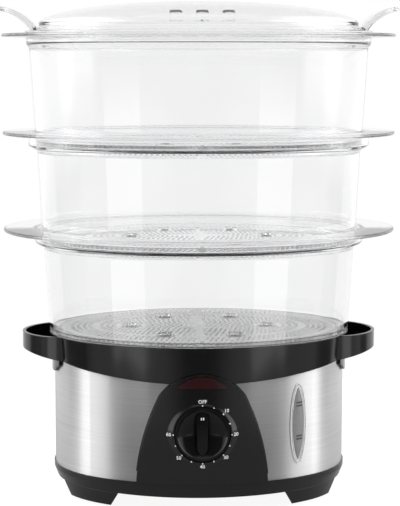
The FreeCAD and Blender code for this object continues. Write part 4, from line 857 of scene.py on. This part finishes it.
def make_gauge():
    """A pale frame with a dark line in it, the field and grey tube inside, and the marks."""
    gauge_band("gauge_frame", oval_window, FRAME_SECTION, "tray_plastic", True,
               ("gauge_window",))
    gauge_band("gauge_frame_line", oval_window, LINE_SECTION, "grey_rubber", True)
    gauge_band("gauge_field", oval_window, FIELD_SECTION, "cast_aluminium", False)
    gauge_band("gauge_tube", leaf_outline, TUBE_SECTION, "grey_plastic", False)
    bm = bmesh.new()
    for level in MARK_LEVELS:
        front, back = [[bm.verts.new(gauge_place(sideways, outward, level + rise))
                        for sideways, rise in MARK_CORNERS]
                       for outward in (MARK_FRONT, MARK_BACK)]
        bm.faces.new(front)
        bm.faces.new(list(reversed(back)))
        bridge(bm, (front, back))
    make_piece("gauge_marks", bm, "base", "grey_rubber")


make_gauge()


# ---- table, backdrop and lights ----------------------------------------------

TABLE = (-0.40, -0.36, 0.40, 0.42)
TABLE_PAINT, TABLE_ROUGHNESS = 0.85, 0.6
TABLE_OWN_LIGHT, TABLE_GLOSS_LIGHT = 0.92, 0.4


def math_node(tree, operation, first, second):
    """A math node fed by sockets or plain numbers."""
    made = add_node(tree, "ShaderNodeMath", operation=operation)
    for slot, source in enumerate((first, second)):
        if isinstance(source, (int, float)):
            made.inputs[slot].default_value = source
        elif source is not None:
            tree.links.new(source, made.inputs[slot])
    return made.outputs[0]


def blend(tree, share, low, high):
    """A colour between low and high, each a socket or a plain colour."""
    mix = add_node(tree, "ShaderNodeMix", data_type="RGBA")
    tree.links.new(share, mix.inputs[0])
    for socket, source in ((6, low), (7, high)):
        if isinstance(source, tuple):
            mix.inputs[socket].default_value = source
        else:
            tree.links.new(source, mix.inputs[socket])
    return mix.outputs[2]


def make_table():
    """A white table that keeps the steamer's shadow and shows white directly."""
    data = bpy.data.meshes.new("table")
    west, south, east, north = TABLE
    corners = [(west, south, 0), (east, south, 0), (east, north, 0), (west, north, 0)]
    data.from_pydata(corners, [], [(0, 1, 2, 3)])
    table = scene_object("table", data)
    material, tree, shader = new_material("table_white")
    path = add_node(tree, "ShaderNodeLightPath")
    seen = math_node(tree, "MAXIMUM", path.outputs["Is Camera Ray"],
                     path.outputs["Is Transmission Ray"])
    mirrored = path.outputs["Is Glossy Ray"]
    direct = math_node(tree, "MAXIMUM", seen, mirrored)
    paint = blend(tree, direct, grey(TABLE_PAINT), grey(1 - TABLE_OWN_LIGHT))
    tree.links.new(paint, shader.inputs["Base Color"])
    glow = math_node(tree, "MAXIMUM", math_node(tree, "MULTIPLY", seen, TABLE_OWN_LIGHT),
                     math_node(tree, "MULTIPLY", mirrored, TABLE_GLOSS_LIGHT))
    shader.inputs["Roughness"].default_value = TABLE_ROUGHNESS
    shader.inputs["Emission Color"].default_value = grey(1)
    tree.links.new(glow, shader.inputs["Emission Strength"])
    data.materials.append(material)


# The studio around the table: brightness by direction, in degrees from the front (-Y),
# positive towards +X. LOW lies below the horizon, with a window on each side, and HIGH
# above it. Up to BACKDROP_TOP all of it is white through clear plastic. Heights are in
# degrees above the horizon.
LOW = ((-180, 1.0), (-116, 1.0), (-113, 0.1), (-78, 0.1), (-75, 0.65), (-50, 0.65),
       (-35, 0.95), (-22, 0.7), (-9, 0.08), (9, 0.08), (22, 0.7), (35, 0.95), (50, 0.65),
       (86, 0.65), (89, 0.1), (111, 0.1), (114, 1.0), (180, 1.0))
HIGH = ((-180, 0.95), (-158, 0.95), (-150, 1.7), (-112, 1.7), (-98, 2.2), (-90, 4.6),
        (-82, 5.0), (-77, 3.0), (-72, 2.6), (-65, 2.4), (-61, 0.15), (61, 0.15), (65, 2.4),
        (72, 2.6), (77, 3.0), (82, 5.0), (90, 4.6), (98, 2.2), (112, 1.7), (150, 1.7),
        (158, 0.95), (180, 0.95))
WINDOW_BRIGHTNESS, WINDOW_FROM, WINDOW_TO, WINDOW_LOW = 2.8, 35, 58, -18.0
HORIZON_LOW, HORIZON_HIGH, BACKDROP_TOP = -8.0, -5.0, 25.0
CEILING, CEILING_BRIGHTNESS = 55.0, 1.2


def turn_ramp(tree, turn, rows):
    """Brightness along the direction's turn around Z."""
    ramp = add_node(tree, "ShaderNodeValToRGB")
    elements = ramp.color_ramp.elements
    while len(elements) < len(rows):
        elements.new(0.5)
    for element, (degrees, _) in zip(elements, rows):
        element.position = degrees / 360 + 0.5
    for element, (_, level) in zip(elements, rows):
        element.color = grey(level)
    tree.links.new(turn, ramp.inputs[0])
    return ramp.outputs[0]


def make_world():
    """White to the camera and through clear plastic; a studio of panels in reflections."""
    world = bpy.data.worlds.new("studio")
    bpy.context.scene.world = world
    world.use_nodes = True
    tree = world.node_tree
    background = tree.nodes["Background"]
    place = add_node(tree, "ShaderNodeTexCoord")
    split = add_node(tree, "ShaderNodeSeparateXYZ")
    link(tree, place, "Generated", split, 0)
    front = math_node(tree, "MULTIPLY", split.outputs["Y"], -1)
    angle = math_node(tree, "ARCTAN2", split.outputs["X"], front)
    turn = math_node(tree, "MULTIPLY_ADD", angle, 1 / (2 * math.pi))
    turn.node.inputs[2].default_value = 0.5
    height = math_node(tree, "ARCSINE", split.outputs["Z"], None)
    height = math_node(tree, "MULTIPLY", height, 180 / math.pi)
    aside = math_node(tree, "ABSOLUTE", angle, None)
    aside = math_node(tree, "MULTIPLY", aside, 180 / math.pi)
    window = math_node(tree, "MULTIPLY", math_node(tree, "GREATER_THAN", aside, WINDOW_FROM),
                       math_node(tree, "LESS_THAN", aside, WINDOW_TO))
    window = math_node(tree, "MULTIPLY", window,
                       math_node(tree, "GREATER_THAN", height, WINDOW_LOW))
    low = blend(tree, window, turn_ramp(tree, turn, LOW), grey(WINDOW_BRIGHTNESS))
    above = add_node(tree, "ShaderNodeMapRange", interpolation_type="SMOOTHSTEP")
    tree.links.new(height, above.inputs["Value"])
    above.inputs["From Min"].default_value = HORIZON_LOW
    above.inputs["From Max"].default_value = HORIZON_HIGH
    studio = blend(tree, above.outputs[0], low, turn_ramp(tree, turn, HIGH))
    overhead = math_node(tree, "GREATER_THAN", height, CEILING)
    studio = blend(tree, overhead, studio, grey(CEILING_BRIGHTNESS))
    path = add_node(tree, "ShaderNodeLightPath")
    below = math_node(tree, "LESS_THAN", height, BACKDROP_TOP)
    through = math_node(tree, "MULTIPLY", path.outputs["Is Transmission Ray"], below)
    seen = math_node(tree, "MAXIMUM", path.outputs["Is Camera Ray"], through)
    tree.links.new(blend(tree, seen, studio, grey(1.0)), background.inputs["Color"])


MIDDLE = (0, 0, 0.19)


def area_light(name, place, width, height, power):
    """A soft lamp aimed at the steamer's middle, which no reflection shows."""
    data = bpy.data.lights.new(name, "AREA")
    data.shape = "RECTANGLE"
    data.size = width
    data.size_y = height
    data.energy = power
    lamp = scene_object(name, data)
    lamp.location = place
    lamp.rotation_euler = (Vector(place) - Vector(MIDDLE)).to_track_quat("Z", "Y").to_euler()
    lamp.visible_glossy = False
    lamp.visible_transmission = False


make_table()
make_world()
area_light("top_panel", (0, -0.2, 1.6), 1.6, 1.2, 8)
area_light("front_fill", (0, -1.7, 0.9), 1.6, 0.8, 8)

scene = bpy.context.scene
scene.view_settings.view_transform = "Standard"
scene.cycles.max_bounces = 32
scene.cycles.transmission_bounces = 32
scene.cycles.glossy_bounces = 12
